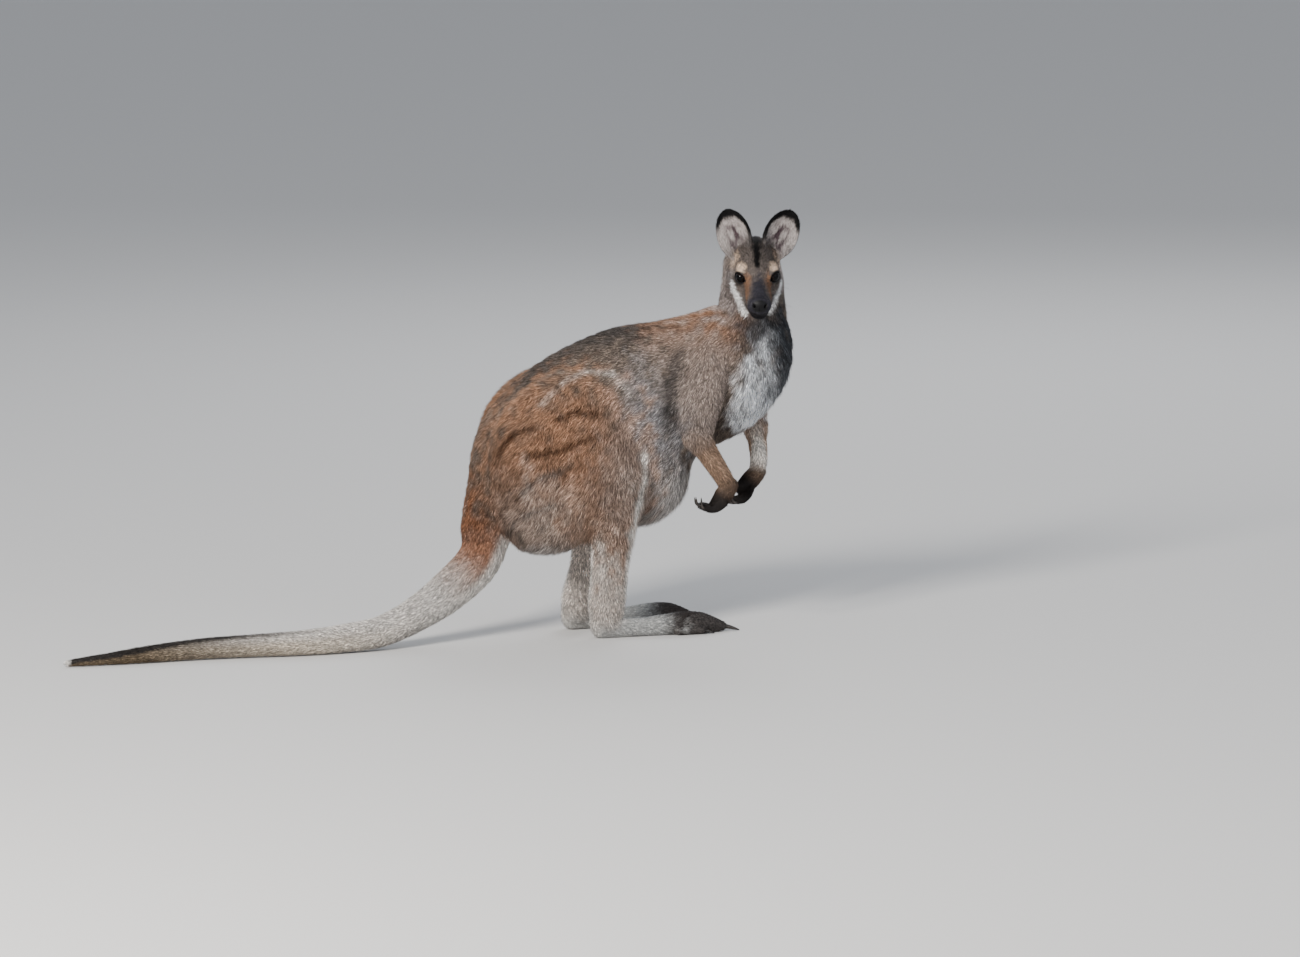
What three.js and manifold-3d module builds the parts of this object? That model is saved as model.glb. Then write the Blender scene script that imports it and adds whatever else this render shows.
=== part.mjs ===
// A red-necked wallaby, life size. It stands alert on its hind feet and tail, its head turned to its right.
// Units are millimetres. +X is ahead of the animal, +Y its left and +Z up, and the floor is z = 0.
// The body is one smooth field of blended tubes and ellipsoids. Each named part is that field's surface,
// meshed at a cell size of its own and parted from its neighbours by thin cuts.
import * as THREE from "three";
import { mergeVertices } from "three/addons/utils/BufferGeometryUtils.js";
import Module from "manifold-3d";

const wasm = await Module();
wasm.setup();

// ---------------------------------------------------------------- driving dimensions
// Body places are measured from the floor between the heels. ORIGIN is the middle of the whole
// animal's length and breadth on the floor, where the part's own frame sits.
const ORIGIN = [-236, -50, 0];
const PLANE_GAP = 0.3; // between two parts that one plane parts
const FLESH_GAP = 0.9; // between a limb and the trunk that it grows from
const SOCKET_GAP = 0.8; // between an eye and its socket
const SHANK_MARGIN = 4; // how far round its own tube the shank's part reaches
// How far a part's surface may move as the slivers of its cuts are cleaned, at small and at large parts.
const SLIVER = 0.12;
const HEAD_SLIVER = 0.2;
const FLESH_SLIVER = 0.5;
// The cell of each surface's mesh, and how far the surface may move as its mesh is thinned.
const MESHES = {
  head: { cell: 8, trim: 1.7 },
  trunk: { cell: 17, trim: 2.3 },
  leg: { cell: 18, trim: 2.8 },
  shankSpace: { cell: 15, trim: 1.2 },
  foot: { cell: 9, trim: 1.7 },
  upperArm: { cell: 11, trim: 1.5 },
  forearm: { cell: 8.5, trim: 1.1 },
  tailMiddle: { cell: 13, trim: 1.5 },
  tailLower: { cell: 12, trim: 1.4 },
  tailEnd: { cell: 9, trim: 1.2 },
};
const HAND_TRIM = 1;
// How wide the fillets are where two fields run together.
const FILLETS = {
  head: 12,
  jaw: 9,
  nose: 6,
  belly: 34,
  neck: 20,
  tail: 16,
  thigh: 50,
  knee: 26,
  ankle: 10,
  toes: 3.5,
  elbow: 8,
};
const EYE_RADIUS = 10.5;
const EYE_PLACE = [11, 22, 8]; // in the head's frame, the left one mirrored
const HEAD_PLACE = [245.6, -38, 538]; // midway between the eyes
const HEAD_HEADING = -88; // degrees, from straight ahead towards its right
const HEAD_PITCH = -23; // degrees, nose down
const PELVIS_PLACE = [-60, -2];
const PELVIS_HEADING = 10;
const EAR_LENGTH = 77.5;
const EAR_HALF_ARC = 28;
const EAR_THICKNESS = 3.4;
const EAR_ROOT = [-30, 23, 15]; // in the head's frame, mirrored for the left one
// Each ear's own way up and the way its hollow faces, in the head's frame: ahead, right, up.
const EARS = {
  right: { side: 1, lean: [-0.265, 0.255, 0.93], turn: [0.88, 0.25, 0.3] },
  left: { side: -1, lean: [-0.25, -0.4, 0.88], turn: [0.88, -0.1, 0.3] },
};
const CURVE_STEPS = 5; // straight lengths between two stations of a tube
const BALL_SIDES = 11;
const BALL_BANDS = 7;
const PALM_SIDES = 8;
const FINGER_SIDES = 5;
const CLAW_SIDES = 5;

// Stations of the tubes: x, y, z, depth and width of the half section, heading of the section in degrees.
const SPINE = [
  [-168, -25, 172, 37, 40, 13],
  [-140, -17, 232, 56, 71, 11],
  [-97, -8, 285, 87, 89, 10],
  [-35, 2, 333, 96, 95, 8],
  [45, 8, 352, 113, 92, 2],
  [115, 7, 368, 108, 84, -8],
  [176, 1, 390, 101, 76, -18],
  [222, -6, 426, 85, 66, -26],
  [236, -5, 466, 60, 54, -38],
  [238, 2, 500, 54, 49, -52],
  [238, 12, 548, 42, 43.5, -70],
];
const TAIL = [
  [-158, -20, 190, 39, 42, 14],
  [-177, -37, 124, 37, 36, 20],
  [-222, -60, 80, 35, 32, 28],
  [-272, -88, 49, 30, 28, 30],
  [-322, -116, 29, 26.5, 25.5, 27],
  [-372, -137, 23, 24.5, 23.5, 20],
  [-445, -156, 19.5, 21, 20.5, 9],
  [-520, -163, 18, 19.3, 19, 6],
  [-592, -174, 16.6, 17.8, 17, 12],
  [-665, -193, 13.6, 14.6, 13.5, 14],
  [-723, -207, 10, 11, 9.8, 12],
  [-765, -214, 7.4, 8.4, 7.4, 8],
  [-784, -217, 6, 6.6, 5.8, 8],
];
const BELLY = { at: [58, 6, 258], radii: [88, 78, 98] };
// The head's own pieces, in its frame from midway between the eyes: ahead, right, up.
const CRANIUM = { at: [-30, 0, 12], radii: [40, 33, 32] };
const FOREHEAD = { at: [-4, 0, 9], radii: [32, 28, 24] };
const CHEEK = { at: [-12, 24, -12], radii: [30, 16, 26] };
const BROW = { at: [3, 20, 16], radii: [17, 11, 8] };
const NOSE_PAD = { at: [75, 0, -4.5], radii: [8, 13.8, 9.6] };
// Stations along the head's midline: ahead, up, depth, width.
const MUZZLE = [
  [-4, -4, 29, 24],
  [24, -7, 23, 20.5],
  [46, -10, 20, 19.5],
  [62, -11, 17.5, 18.5],
  [70, -10.5, 13.5, 15.5],
];
const JAW = [
  [-20, -26, 16, 22],
  [20, -28, 13, 19],
  [46, -28, 10.5, 15.5],
  [62, -27.5, 8.5, 11.5],
];

// Arms, outside in. Each row is a station as above.
const ARMS = {
  right: {
    upper: [
      [168, -46, 424, 44, 24, -24],
      [158, -60, 374, 42, 27, -24],
      [152, -73, 332, 32, 25, -20],
      [152, -77, 303, 22, 20, -12],
    ],
    fore: [
      [152, -77, 305, 21, 19, -6],
      [171, -75, 273, 16.5, 15, 0],
      [189, -72, 243, 14, 12.5, 0],
      [197, -70, 226, 13, 11, 0],
    ],
    reach: [-0.3, 0, -0.954],
    curl: [-0.949, -0.1, 0.298],
    open: 0,
  },
  left: {
    upper: [
      [220, 40, 410, 38, 24, -34],
      [231, 50, 362, 34, 24, -34],
      [238, 49, 320, 23, 20, -38],
      [240, 45, 300, 19, 17, -40],
    ],
    fore: [
      [240, 46, 304, 18.5, 17, -38],
      [243, 38, 276, 15, 14, -36],
      [244, 31, 252, 13.4, 12, -36],
      [240, 25, 233, 12.8, 10.8, -40],
    ],
    reach: [-0.46, -0.12, -0.88],
    curl: [-0.86, -0.2, 0.477],
    open: 40,
  },
};

// Hind legs: the thigh and haunch are in the pelvis's own frame (ahead, out, up), the shank is a tube.
const LEGS = {
  right: {
    side: -1,
    shank: [
      [38, -62, 246, 42, 33, 10],
      [28, -59, 190, 36, 28, 10],
      [20, -54, 142, 31, 25, 10],
      [16, -49, 95, 28.5, 23, 11],
      [11, -45, 50, 28, 21.5, 11],
      [9, -44, 26, 24, 19, 11],
    ],
    heel: [-10, -47],
    heading: 11,
  },
  left: {
    side: 1,
    shank: [
      [16, 66, 246, 42, 33, 10],
      [2, 63, 190, 36, 28, 11],
      [-11, 59, 142, 28, 25, 12],
      [-20, 53, 95, 24.5, 22, 13],
      [-31, 48, 50, 26, 21, 14],
      [-34, 46, 26, 24, 19, 14],
    ],
    heel: [-54, 41],
    heading: 14,
  },
};
const THIGH = { at: [13, 64, 284], radii: [124, 53, 120] };
const HAUNCH = { at: [-26, 54, 178], radii: [66, 36, 50] };
// The foot's stations run along its length: distance, height, depth, width.
const FOOT = [
  [14, 17, 19, 17],
  [45, 14, 15.5, 16.5],
  [75, 13, 14.5, 17],
  [108, 14.5, 16, 18.5],
  [138, 16, 17.5, 21],
  [163, 15.5, 16.5, 18.5],
  [187, 10.5, 11.5, 11],
];
// Toes: name, sideways start, length share, radius, claw length. Out is the animal's own outer side.
const TOES = [
  { name: "4", out: 0, from: 150, to: 196, radius: 9.5, claw: 24, clawRadius: 4.6 },
  { name: "5", out: 15, from: 128, to: 164, radius: 7.2, claw: 15, clawRadius: 3.3 },
  { name: "3", out: -12.5, from: 130, to: 160, radius: 4.6, claw: 9, clawRadius: 2.1 },
  { name: "2", out: -18.5, from: 128, to: 156, radius: 4.6, claw: 9, clawRadius: 2.1 },
];
// Palm, finger and claw stations: distance down from the wrist, along the curl, depth, width, spread.
const PALM = [
  [-6, 0, 13, 11.5],
  [8, 3, 14.5, 13],
  [19, 6.5, 13, 16],
  [29, 12, 9.5, 16],
];
const FINGER_BONES = [
  [21, 2, 6.4, 3.4],
  [31, 11, 6, 3.4],
  [36, 22, 5, 3.3, 1.1],
  [36, 33, 4, 3, 1.18],
];
const FINGER_CLAW = [
  [37, 30, 2.8, 2, 1.17],
  [36, 40, 2, 1.4, 1.2],
  [27, 45.5, 0.35, 0.3, 1.2],
];
const KNUCKLE = [21, 1]; // the fingers open and close about it
// Fingers, thumb first: sideways place at the knuckle, share of the full length.
const FINGERS = [
  { name: "1", across: -14, share: 0.72 },
  { name: "2", across: -7, share: 0.93 },
  { name: "3", across: 0, share: 1 },
  { name: "4", across: 7, share: 0.95 },
  { name: "5", across: 14, share: 0.8 },
];

// ---------------------------------------------------------------- small vector helpers
const rad = (degrees) => (degrees * Math.PI) / 180;
const lerp = (a, b, t) => a + (b - a) * t;
const dot = (a, b) => a[0] * b[0] + a[1] * b[1] + a[2] * b[2];
const minus = (a, b) => [a[0] - b[0], a[1] - b[1], a[2] - b[2]];
const plus = (a, b, k = 1) => [a[0] + b[0] * k, a[1] + b[1] * k, a[2] + b[2] * k];
const cross = (a, b) => [a[1] * b[2] - a[2] * b[1], a[2] * b[0] - a[0] * b[2], a[0] * b[1] - a[1] * b[0]];
const unit = (a) => {
  const size = Math.hypot(...a) || 1;
  return [a[0] / size, a[1] / size, a[2] / size];
};

/** Ahead, out to the right and up for a heading and a pitch in degrees. */
function axesOf(heading, pitch = 0) {
  const h = rad(heading);
  const p = rad(pitch);
  const ahead = [Math.cos(h) * Math.cos(p), Math.sin(h) * Math.cos(p), Math.sin(p)];
  const right = [Math.sin(h), -Math.cos(h), 0];
  return { ahead, right, up: cross(right, ahead) };
}

/** A place given as (ahead, right, up) from a point, in body coordinates. */
const placed = (from, axes, [a, r, u]) =>
  plus(plus(plus(from, axes.ahead, a), axes.right, r), axes.up, u);

// ---------------------------------------------------------------- fields (negative inside, in mm)
/** Smooth union, with a fillet about k wide where two fields come close. */
const join = (k, ...fields) => (p) =>
  fields.map((field) => field(p)).reduce((d, e) => {
    const h = Math.max(k - Math.abs(d - e), 0);
    return Math.min(d, e) - (h * h) / (4 * k);
  });

/** An ellipsoid, its radii along ahead, right and up of its own axes. */
function ellipsoid(at, radii, axes = axesOf(0)) {
  return (p) => {
    const q = minus(p, at);
    const v = [dot(q, axes.ahead), dot(q, axes.right), dot(q, axes.up)];
    const k = Math.hypot(v[0] / radii[0], v[1] / radii[1], v[2] / radii[2]);
    return k < 0.05 ? -Math.min(...radii) : Math.hypot(...v) * (1 - 1 / k);
  };
}

/** Catmull-Rom curve through rows of numbers of any length. */
function smoothRows(rows) {
  const made = [];
  for (let i = 0; i < rows.length - 1; i++) {
    const [a, b, c, d] = [-1, 0, 1, 2].map((step) => rows[Math.min(Math.max(i + step, 0), rows.length - 1)]);
    for (let s = 0; s < CURVE_STEPS; s++) {
      const t = s / CURVE_STEPS;
      made.push(
        b.map((_, j) => {
          const slope0 = (c[j] - a[j]) / 2;
          const slope1 = (d[j] - b[j]) / 2;
          const span = b[j] - c[j];
          const bend = -3 * span - 2 * slope0 - slope1;
          return b[j] + t * (slope0 + t * (bend + t * (2 * span + slope0 + slope1)));
        }),
      );
    }
  }
  made.push(rows[rows.length - 1]);
  return made;
}

/** The straight lengths of a tube, each with its axis, sideways and depth directions. */
function lengthsOf(rows) {
  return rows.slice(1).map((b, i) => {
    const a = rows[i];
    const span = minus(b, a);
    const length = Math.hypot(...span);
    const axis = unit(span);
    const out = axesOf((a[5] + b[5]) / 2).right;
    const side = unit(plus(out, axis, -dot(out, axis)));
    return { a, b, length, axis, side, deep: cross(side, axis) };
  });
}

/** A tube of elliptical sections through stations, with round ends. */
function tube(stations) {
  const lengths = lengthsOf(smoothRows(stations));
  return (p) => {
    let best = Infinity;
    for (const { a, b, length, axis, side, deep } of lengths) {
      const q = minus(p, a);
      const t = Math.min(Math.max(dot(q, axis) / length, 0), 1);
      const r = plus(q, axis, -t * length);
      const depth = lerp(a[3], b[3], t);
      const width = lerp(a[4], b[4], t);
      const k = Math.hypot(dot(r, deep) / depth, dot(r, side) / width, dot(r, axis) / Math.min(depth, width));
      best = Math.min(best, k < 0.05 ? -Math.min(depth, width) : Math.hypot(...r) * (1 - 1 / k));
    }
    return best;
  };
}

// ---------------------------------------------------------------- the body's fields
const HEAD_AXES = axesOf(HEAD_HEADING, HEAD_PITCH);
const inHead = (place) => placed(HEAD_PLACE, HEAD_AXES, place);
const headBall = (place, radii) => ellipsoid(inHead(place), radii, HEAD_AXES);
/** A tube along the head's midline: ahead, up, depth, width. */
const headTube = (rows) =>
  tube(rows.map(([ahead, up, depth, width]) => [...inHead([ahead, 0, up]), depth, width, HEAD_HEADING]));

const bothSides = ({ at: [ahead, out, up], radii }) =>
  [-1, 1].map((side) => headBall([ahead, out * side, up], radii));

const upperHead = join(
  FILLETS.head,
  headBall(CRANIUM.at, CRANIUM.radii),
  headBall(FOREHEAD.at, FOREHEAD.radii),
  headTube(MUZZLE),
  ...bothSides(CHEEK),
  ...bothSides(BROW),
);
const nosePad = headBall(NOSE_PAD.at, NOSE_PAD.radii);
const head = join(FILLETS.nose, join(FILLETS.jaw, upperHead, headTube(JAW)), nosePad);
const trunk = join(FILLETS.belly, tube(SPINE), ellipsoid(BELLY.at, BELLY.radii));
const core = join(FILLETS.tail, join(FILLETS.neck, trunk, head), tube(TAIL));

const PELVIS_AXES = axesOf(PELVIS_HEADING);
/** A place in the pelvis's frame: ahead, out to that leg's side, height above the floor. */
const inPelvis = (side, [ahead, out, z]) =>
  placed([...PELVIS_PLACE, 0], PELVIS_AXES, [ahead, -side * out, z]);

const legField = ({ side, shank }) =>
  join(
    FILLETS.knee,
    join(
      FILLETS.thigh,
      ellipsoid(inPelvis(side, THIGH.at), THIGH.radii, PELVIS_AXES),
      ellipsoid(inPelvis(side, HAUNCH.at), HAUNCH.radii, PELVIS_AXES),
    ),
    tube(shank),
  );

/** A place on a foot: distance ahead of the heel, out to its outer side, height. */
const onFoot = ({ heel, heading, side }, [ahead, out, z]) =>
  placed([...heel, 0], axesOf(heading), [ahead, -side * out, z]);

/** The toe's own stations, nearly flat to the floor and drooping at the tip. */
function toeRows(leg, { out, from, to, radius }) {
  const rise = [1.05, 1, 0.92];
  return rise.map((h, i) => {
    const t = i / (rise.length - 1);
    const at = onFoot(leg, [lerp(from, to, t), out * (1 + 0.12 * t), radius * h]);
    return [...at, radius * lerp(1.1, 0.88, t), radius * lerp(1, 0.85, t), leg.heading];
  });
}

const footRows = (leg) =>
  FOOT.map(([along, height, ...size]) => [...onFoot(leg, [along, 0, height]), ...size, leg.heading]);

const footField = (leg) =>
  join(FILLETS.toes, tube(footRows(leg)), ...TOES.map((toe) => tube(toeRows(leg, toe))));

// ---------------------------------------------------------------- surfaces
/** A closed mesh as a manifold solid, turned outward. */
function solidOf(coordinates, corners) {
  const build = (triVerts) =>
    new wasm.Manifold(
      new wasm.Mesh({
        numProp: 3,
        vertProperties: new Float32Array(coordinates),
        triVerts: new Uint32Array(triVerts),
      }),
    );
  const made = build(corners);
  return made.volume() > 0 ? made : build([...corners].reverse());
}

/** A point brought down the field's own slope to its zero, within a reach. */
function settle(field, p, reach) {
  let q = p;
  for (let turn = 0; turn < 3; turn++) {
    const slope = [0, 1, 2].map((i) => {
      const step = [0, 0, 0];
      step[i] = 0.4;
      return (field(plus(q, step)) - field(minus(q, step))) / 0.8;
    });
    q = plus(q, slope, -field(q) / Math.max(dot(slope, slope), 0.2));
  }
  return q.map((value, i) => Math.min(Math.max(value, p[i] - reach), p[i] + reach));
}

/** The closed surface of a field inside a box, by surface nets on cubes, thinned to within a trim in mm. */
function surfaceOf(field, low, high, { cell, trim }) {
  const boxed = (p) => Math.max(field(p), ...low.map((v, i) => v - p[i]), ...high.map((v, i) => p[i] - v));
  const from = low.map((v) => v - 1.5 * cell);
  const count = high.map((v, i) => Math.ceil((v + 1.5 * cell - from[i]) / cell) + 1);
  const at = (i, j, k) => i + count[0] * (j + count[1] * k);
  const corner = (i, j, k) => [from[0] + i * cell, from[1] + j * cell, from[2] + k * cell];
  const value = new Float64Array(count[0] * count[1] * count[2]);
  for (let k = 0; k < count[2]; k++)
    for (let j = 0; j < count[1]; j++)
      for (let i = 0; i < count[0]; i++) value[at(i, j, k)] = boxed(corner(i, j, k));

  const points = [];
  const pointAt = new Map();
  /** One vertex for a cell that the surface crosses: the mean of its edge crossings, then settled. */
  const vertexOf = (cellCorner) => {
    const key = at(...cellCorner);
    if (pointAt.has(key)) return pointAt.get(key);
    const crossings = [];
    for (let axis = 0; axis < 3; axis++)
      for (const [u, v] of [[0, 0], [0, 1], [1, 0], [1, 1]]) {
        const a = [...cellCorner];
        a[(axis + 1) % 3] += u;
        a[(axis + 2) % 3] += v;
        const b = [...a];
        b[axis] += 1;
        const [da, db] = [value[at(...a)], value[at(...b)]];
        if (da < 0 === db < 0) continue;
        crossings.push(plus(corner(...a), minus(corner(...b), corner(...a)), da / (da - db)));
      }
    const mean = crossings.reduce((sum, c) => plus(sum, c, 1 / crossings.length), [0, 0, 0]);
    points.push(settle(boxed, mean, 0.45 * cell));
    pointAt.set(key, points.length - 1);
    return points.length - 1;
  };

  const triangles = [];
  const addQuad = ([a, b, c, d]) => {
    const across = (p, q) => Math.hypot(...minus(points[p], points[q]));
    if (across(a, c) <= across(b, d)) triangles.push(a, b, c, a, c, d);
    else triangles.push(b, c, d, b, d, a);
  };
  for (let k = 1; k < count[2] - 1; k++)
    for (let j = 1; j < count[1] - 1; j++)
      for (let i = 1; i < count[0] - 1; i++)
        for (let axis = 0; axis < 3; axis++) {
          const next = [i, j, k];
          next[axis] += 1;
          const inside = value[at(i, j, k)] < 0;
          if (inside === value[at(...next)] < 0) continue;
          const around = [[0, 0], [-1, 0], [-1, -1], [0, -1]].map(([u, v]) => {
            const cellCorner = [i, j, k];
            cellCorner[(axis + 1) % 3] += u;
            cellCorner[(axis + 2) % 3] += v;
            return vertexOf(cellCorner);
          });
          addQuad(inside ? around : around.reverse());
        }
  return solidOf(points.flat(), triangles).simplify(trim).simplify(trim);
}

/** The x, y and z of every vertex of a manifold mesh, from a place. */
function placesOf(mesh, from = [0, 0, 0]) {
  const places = new Float32Array(mesh.numVert * 3);
  for (let i = 0; i < mesh.numVert; i++)
    for (let axis = 0; axis < 3; axis++)
      places[i * 3 + axis] = mesh.vertProperties[i * mesh.numProp + axis] - from[axis];
  return places;
}

/** The same solid with its whole surface moved outward. */
function grown(solid, gap) {
  const mesh = solid.getMesh();
  const geometry = new THREE.BufferGeometry();
  const points = placesOf(mesh);
  geometry.setAttribute("position", new THREE.BufferAttribute(points, 3));
  geometry.setIndex(new THREE.BufferAttribute(mesh.triVerts, 1));
  geometry.computeVertexNormals();
  const normals = geometry.attributes.normal.array;
  return solidOf(points.map((value, i) => value + normals[i] * gap), mesh.triVerts);
}

/** A ball about a place. */
function ball(at, radius) {
  const sphere = new THREE.SphereGeometry(radius, BALL_SIDES, BALL_BANDS).translate(...at);
  const bare = new THREE.BufferGeometry().setAttribute("position", sphere.getAttribute("position"));
  const merged = mergeVertices(bare.setIndex(sphere.index), 1e-3);
  return solidOf(merged.attributes.position.array, merged.index.array);
}

/** A closed loft round stations, straight between them, with flat ends. */
function loft(rows, sides) {
  const lengths = lengthsOf(rows);
  const points = rows.flatMap((row, i) => {
    const { side, deep } = lengths[Math.min(i, lengths.length - 1)];
    return Array.from({ length: sides }, (_, s) => {
      const angle = (2 * Math.PI * s) / sides;
      return plus(plus(row, deep, row[3] * Math.cos(angle)), side, row[4] * Math.sin(angle));
    });
  });
  const last = rows.length - 1;
  points.push(rows[0].slice(0, 3), rows[last].slice(0, 3));
  const triangles = [];
  for (let s = 0; s < sides; s++) {
    const t = (s + 1) % sides;
    triangles.push([points.length - 2, t, s], [points.length - 1, last * sides + s, last * sides + t]);
    for (let i = 0; i < last; i++) {
      const [a, b, c, d] = [i * sides + s, i * sides + t, (i + 1) * sides + t, (i + 1) * sides + s];
      triangles.push([a, b, c], [a, c, d]);
    }
  }
  return solidOf(points.flat(), triangles.flat());
}

// ---------------------------------------------------------------- cuts
/** Keeps what lies on the side that the plane's normal points to, less half the gap. */
const keepAbove = (solid, { at, normal }) =>
  solid.trimByPlane(unit(normal), dot(at, unit(normal)) + PLANE_GAP / 2);
const keepBelow = (solid, { at, normal }) =>
  solid.trimByPlane(unit(normal).map((v) => -v), -dot(at, unit(normal)) + PLANE_GAP / 2);
const onFloor = (solid) => solid.trimByPlane([0, 0, 1], 0);
/** The largest of the pieces that a cut leaves, without its loose slivers. */
const largest = (solid) => solid.decompose().sort((a, b) => b.volume() - a.volume())[0];

const CUTS = {
  skull: { at: [243, 14, 510], normal: [0, -0.42, 0.9] },
  neck: { at: [230, -4, 455], normal: [0.36, 0, 0.93] },
  ribs: { at: [92, 7, 360], normal: [0.96, 0.02, 0.18] },
  loin: { at: [-52, 0, 322], normal: [0.82, 0.12, 0.45] },
  tailRoot: { at: [-166, -24, 178], normal: [0.42, 0.16, 0.9] },
  tailBend: { at: [-275, -88, 49], normal: [0.75, 0.45, 0.48] },
  tailMiddle: { at: [-445, -156, 19], normal: [0.98, 0.17, 0] },
  tailEnd: { at: [-618, -180, 15], normal: [0.98, 0.2, 0] },
};
/** The mouth, under which all is jaw, and the cut behind the bare tip of the muzzle. */
const MOUTH = { at: inHead([40, 0, -20]), normal: plus(HEAD_AXES.up, HEAD_AXES.ahead, 0.12) };
const MOUTH_CORNER = { at: inHead([6, 0, -20]), normal: plus(HEAD_AXES.ahead, HEAD_AXES.up, -0.6) };
const NOSE_CUT = { at: inHead([72.5, 0, -4]), normal: plus(HEAD_AXES.ahead, HEAD_AXES.up, 0.5) };

// ---------------------------------------------------------------- parts
const model = new THREE.Group();
const finishes = {
  coat: { color: 0x7d6f64, roughness: 0.9 },
  rufous: { color: 0x7c543a, roughness: 0.9 },
  pale: { color: 0xb0a79b, roughness: 0.9 },
  dark: { color: 0x2b2522, roughness: 0.8 },
  claw: { color: 0x17130f, roughness: 0.4 },
  eye: { color: 0x0b0706, roughness: 0.1 },
  nose: { color: 0x211d1e, roughness: 0.55 },
};

/** Adds a solid as a named part, about the part's own origin. */
function addPart(name, finish, solid, sliver = SLIVER) {
  const mesh = solid.simplify(sliver).getMesh();
  const geometry = new THREE.BufferGeometry();
  geometry.setAttribute("position", new THREE.BufferAttribute(placesOf(mesh, ORIGIN), 3));
  geometry.setIndex(new THREE.BufferAttribute(mesh.triVerts, 1));
  geometry.computeVertexNormals();
  const material = new THREE.MeshStandardMaterial({ metalness: 0, ...finishes[finish] });
  const made = new THREE.Mesh(geometry, material);
  made.name = name;
  model.add(made);
}

function addHead() {
  let skull = surfaceOf(core, [180, -140, 455], [310, 60, 600], MESHES.head);
  for (const side of [-1, 1]) {
    const [ahead, out, up] = EYE_PLACE;
    const eye = ball(inHead([ahead, side * out, up]), EYE_RADIUS);
    addPart(side > 0 ? "eye_right" : "eye_left", "eye", eye);
    skull = skull.subtract(grown(eye, SOCKET_GAP));
  }
  skull = keepAbove(skull, CUTS.skull);
  addPart("jaw", "pale", largest(keepAbove(keepBelow(skull, MOUTH), MOUTH_CORNER)), HEAD_SLIVER);
  skull = keepAbove(skull, MOUTH).add(keepBelow(skull, MOUTH_CORNER));
  addPart("nose", "nose", largest(keepAbove(keepAbove(skull, NOSE_CUT), MOUTH)));
  skull = largest(keepBelow(skull, NOSE_CUT));
  addPart("head", "coat", skull, HEAD_SLIVER);
  for (const [name, ear] of Object.entries(EARS)) addEar(name, ear, skull);
}

/** A place on the ear's leaf: along from root to tip, over from edge to edge, and off its middle face. */
function onEar(along, over, off) {
  const swell = Math.sqrt(Math.max(Math.sin(Math.PI * (0.12 + 0.88 * along ** 1.05)), 0));
  const roll = lerp(2.1, 0.95, THREE.MathUtils.smoothstep(along, -0.1, 0.35)) - 0.35 * along;
  const radius = (EAR_HALF_ARC * swell) / roll;
  const bow = 5 * swell + 7 * Math.sin(0.9 * Math.PI * along);
  const ahead = radius - (radius - off) * Math.cos(roll * over) - bow;
  return [ahead, (radius - off) * Math.sin(roll * over), EAR_LENGTH * along];
}

/** One ear: a leaf that rolls into a tube at its root, standing on the skull. */
function addEar(name, { side, lean, turn }, skull) {
  const [rows, columns] = [6, 6];
  const root = inHead([EAR_ROOT[0], EAR_ROOT[1] * side, EAR_ROOT[2]]);
  const up = unit(placed([0, 0, 0], HEAD_AXES, lean));
  const facing = placed([0, 0, 0], HEAD_AXES, turn);
  const front = unit(plus(facing, up, -dot(facing, up)));
  const across = cross(up, front);
  const points = [];
  for (const face of [-0.5, 0.5])
    for (let i = 0; i <= rows; i++)
      for (let j = 0; j <= columns; j++) {
        const over = -1 + (2 * j) / columns;
        const along = 0.985 * (1 - (1 - i / rows) ** 1.15);
        const thickness = EAR_THICKNESS * (1 - 0.7 * over ** 6) * (1 - 0.5 * along ** 6);
        const [f, a, l] = onEar(along, over, face * thickness);
        points.push(plus(plus(plus(root, front, f), across, a), up, l));
      }
  const index = (face, i, j) => (face * (rows + 1) + i) * (columns + 1) + j;
  const triangles = [];
  const quad = (a, b, c, d) => triangles.push(a, b, c, a, c, d);
  for (let i = 0; i < rows; i++)
    for (let j = 0; j < columns; j++) {
      quad(index(0, i, j), index(0, i, j + 1), index(0, i + 1, j + 1), index(0, i + 1, j));
      quad(index(1, i, j), index(1, i + 1, j), index(1, i + 1, j + 1), index(1, i, j + 1));
    }
  for (let i = 0; i < rows; i++) {
    quad(index(0, i, 0), index(0, i + 1, 0), index(1, i + 1, 0), index(1, i, 0));
    quad(index(0, i + 1, columns), index(0, i, columns), index(1, i, columns), index(1, i + 1, columns));
  }
  for (let j = 0; j < columns; j++) {
    quad(index(0, 0, j + 1), index(0, 0, j), index(1, 0, j), index(1, 0, j + 1));
    quad(index(0, rows, j), index(0, rows, j + 1), index(1, rows, j + 1), index(1, rows, j));
  }
  const leaf = solidOf(points.flat(), triangles);
  addPart(`ear_${name}`, "pale", largest(leaf.subtract(grown(skull, FLESH_GAP))));
}

/** The trunk from the skull to the bend of the tail. Returns it grown by the gap that limbs keep from it. */
function addTrunk() {
  const trunk = surfaceOf(core, [-300, -130, -20], [320, 120, 560], MESHES.trunk);
  addPart("neck", "coat", largest(keepBelow(keepAbove(trunk, CUTS.neck), CUTS.skull)), FLESH_SLIVER);
  addPart("chest", "coat", largest(keepBelow(keepAbove(trunk, CUTS.ribs), CUTS.neck)), FLESH_SLIVER);
  const rear = keepBelow(trunk, CUTS.ribs);
  addPart("loin", "coat", largest(keepAbove(rear, CUTS.loin)), FLESH_SLIVER);
  addPart("rump", "coat", largest(keepAbove(keepBelow(rear, CUTS.loin), CUTS.tailRoot)), FLESH_SLIVER);
  addPart("tail_root", "coat", largest(onFloor(keepAbove(keepBelow(rear, CUTS.tailRoot), CUTS.tailBend))));
  return grown(trunk, FLESH_GAP);
}

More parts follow.
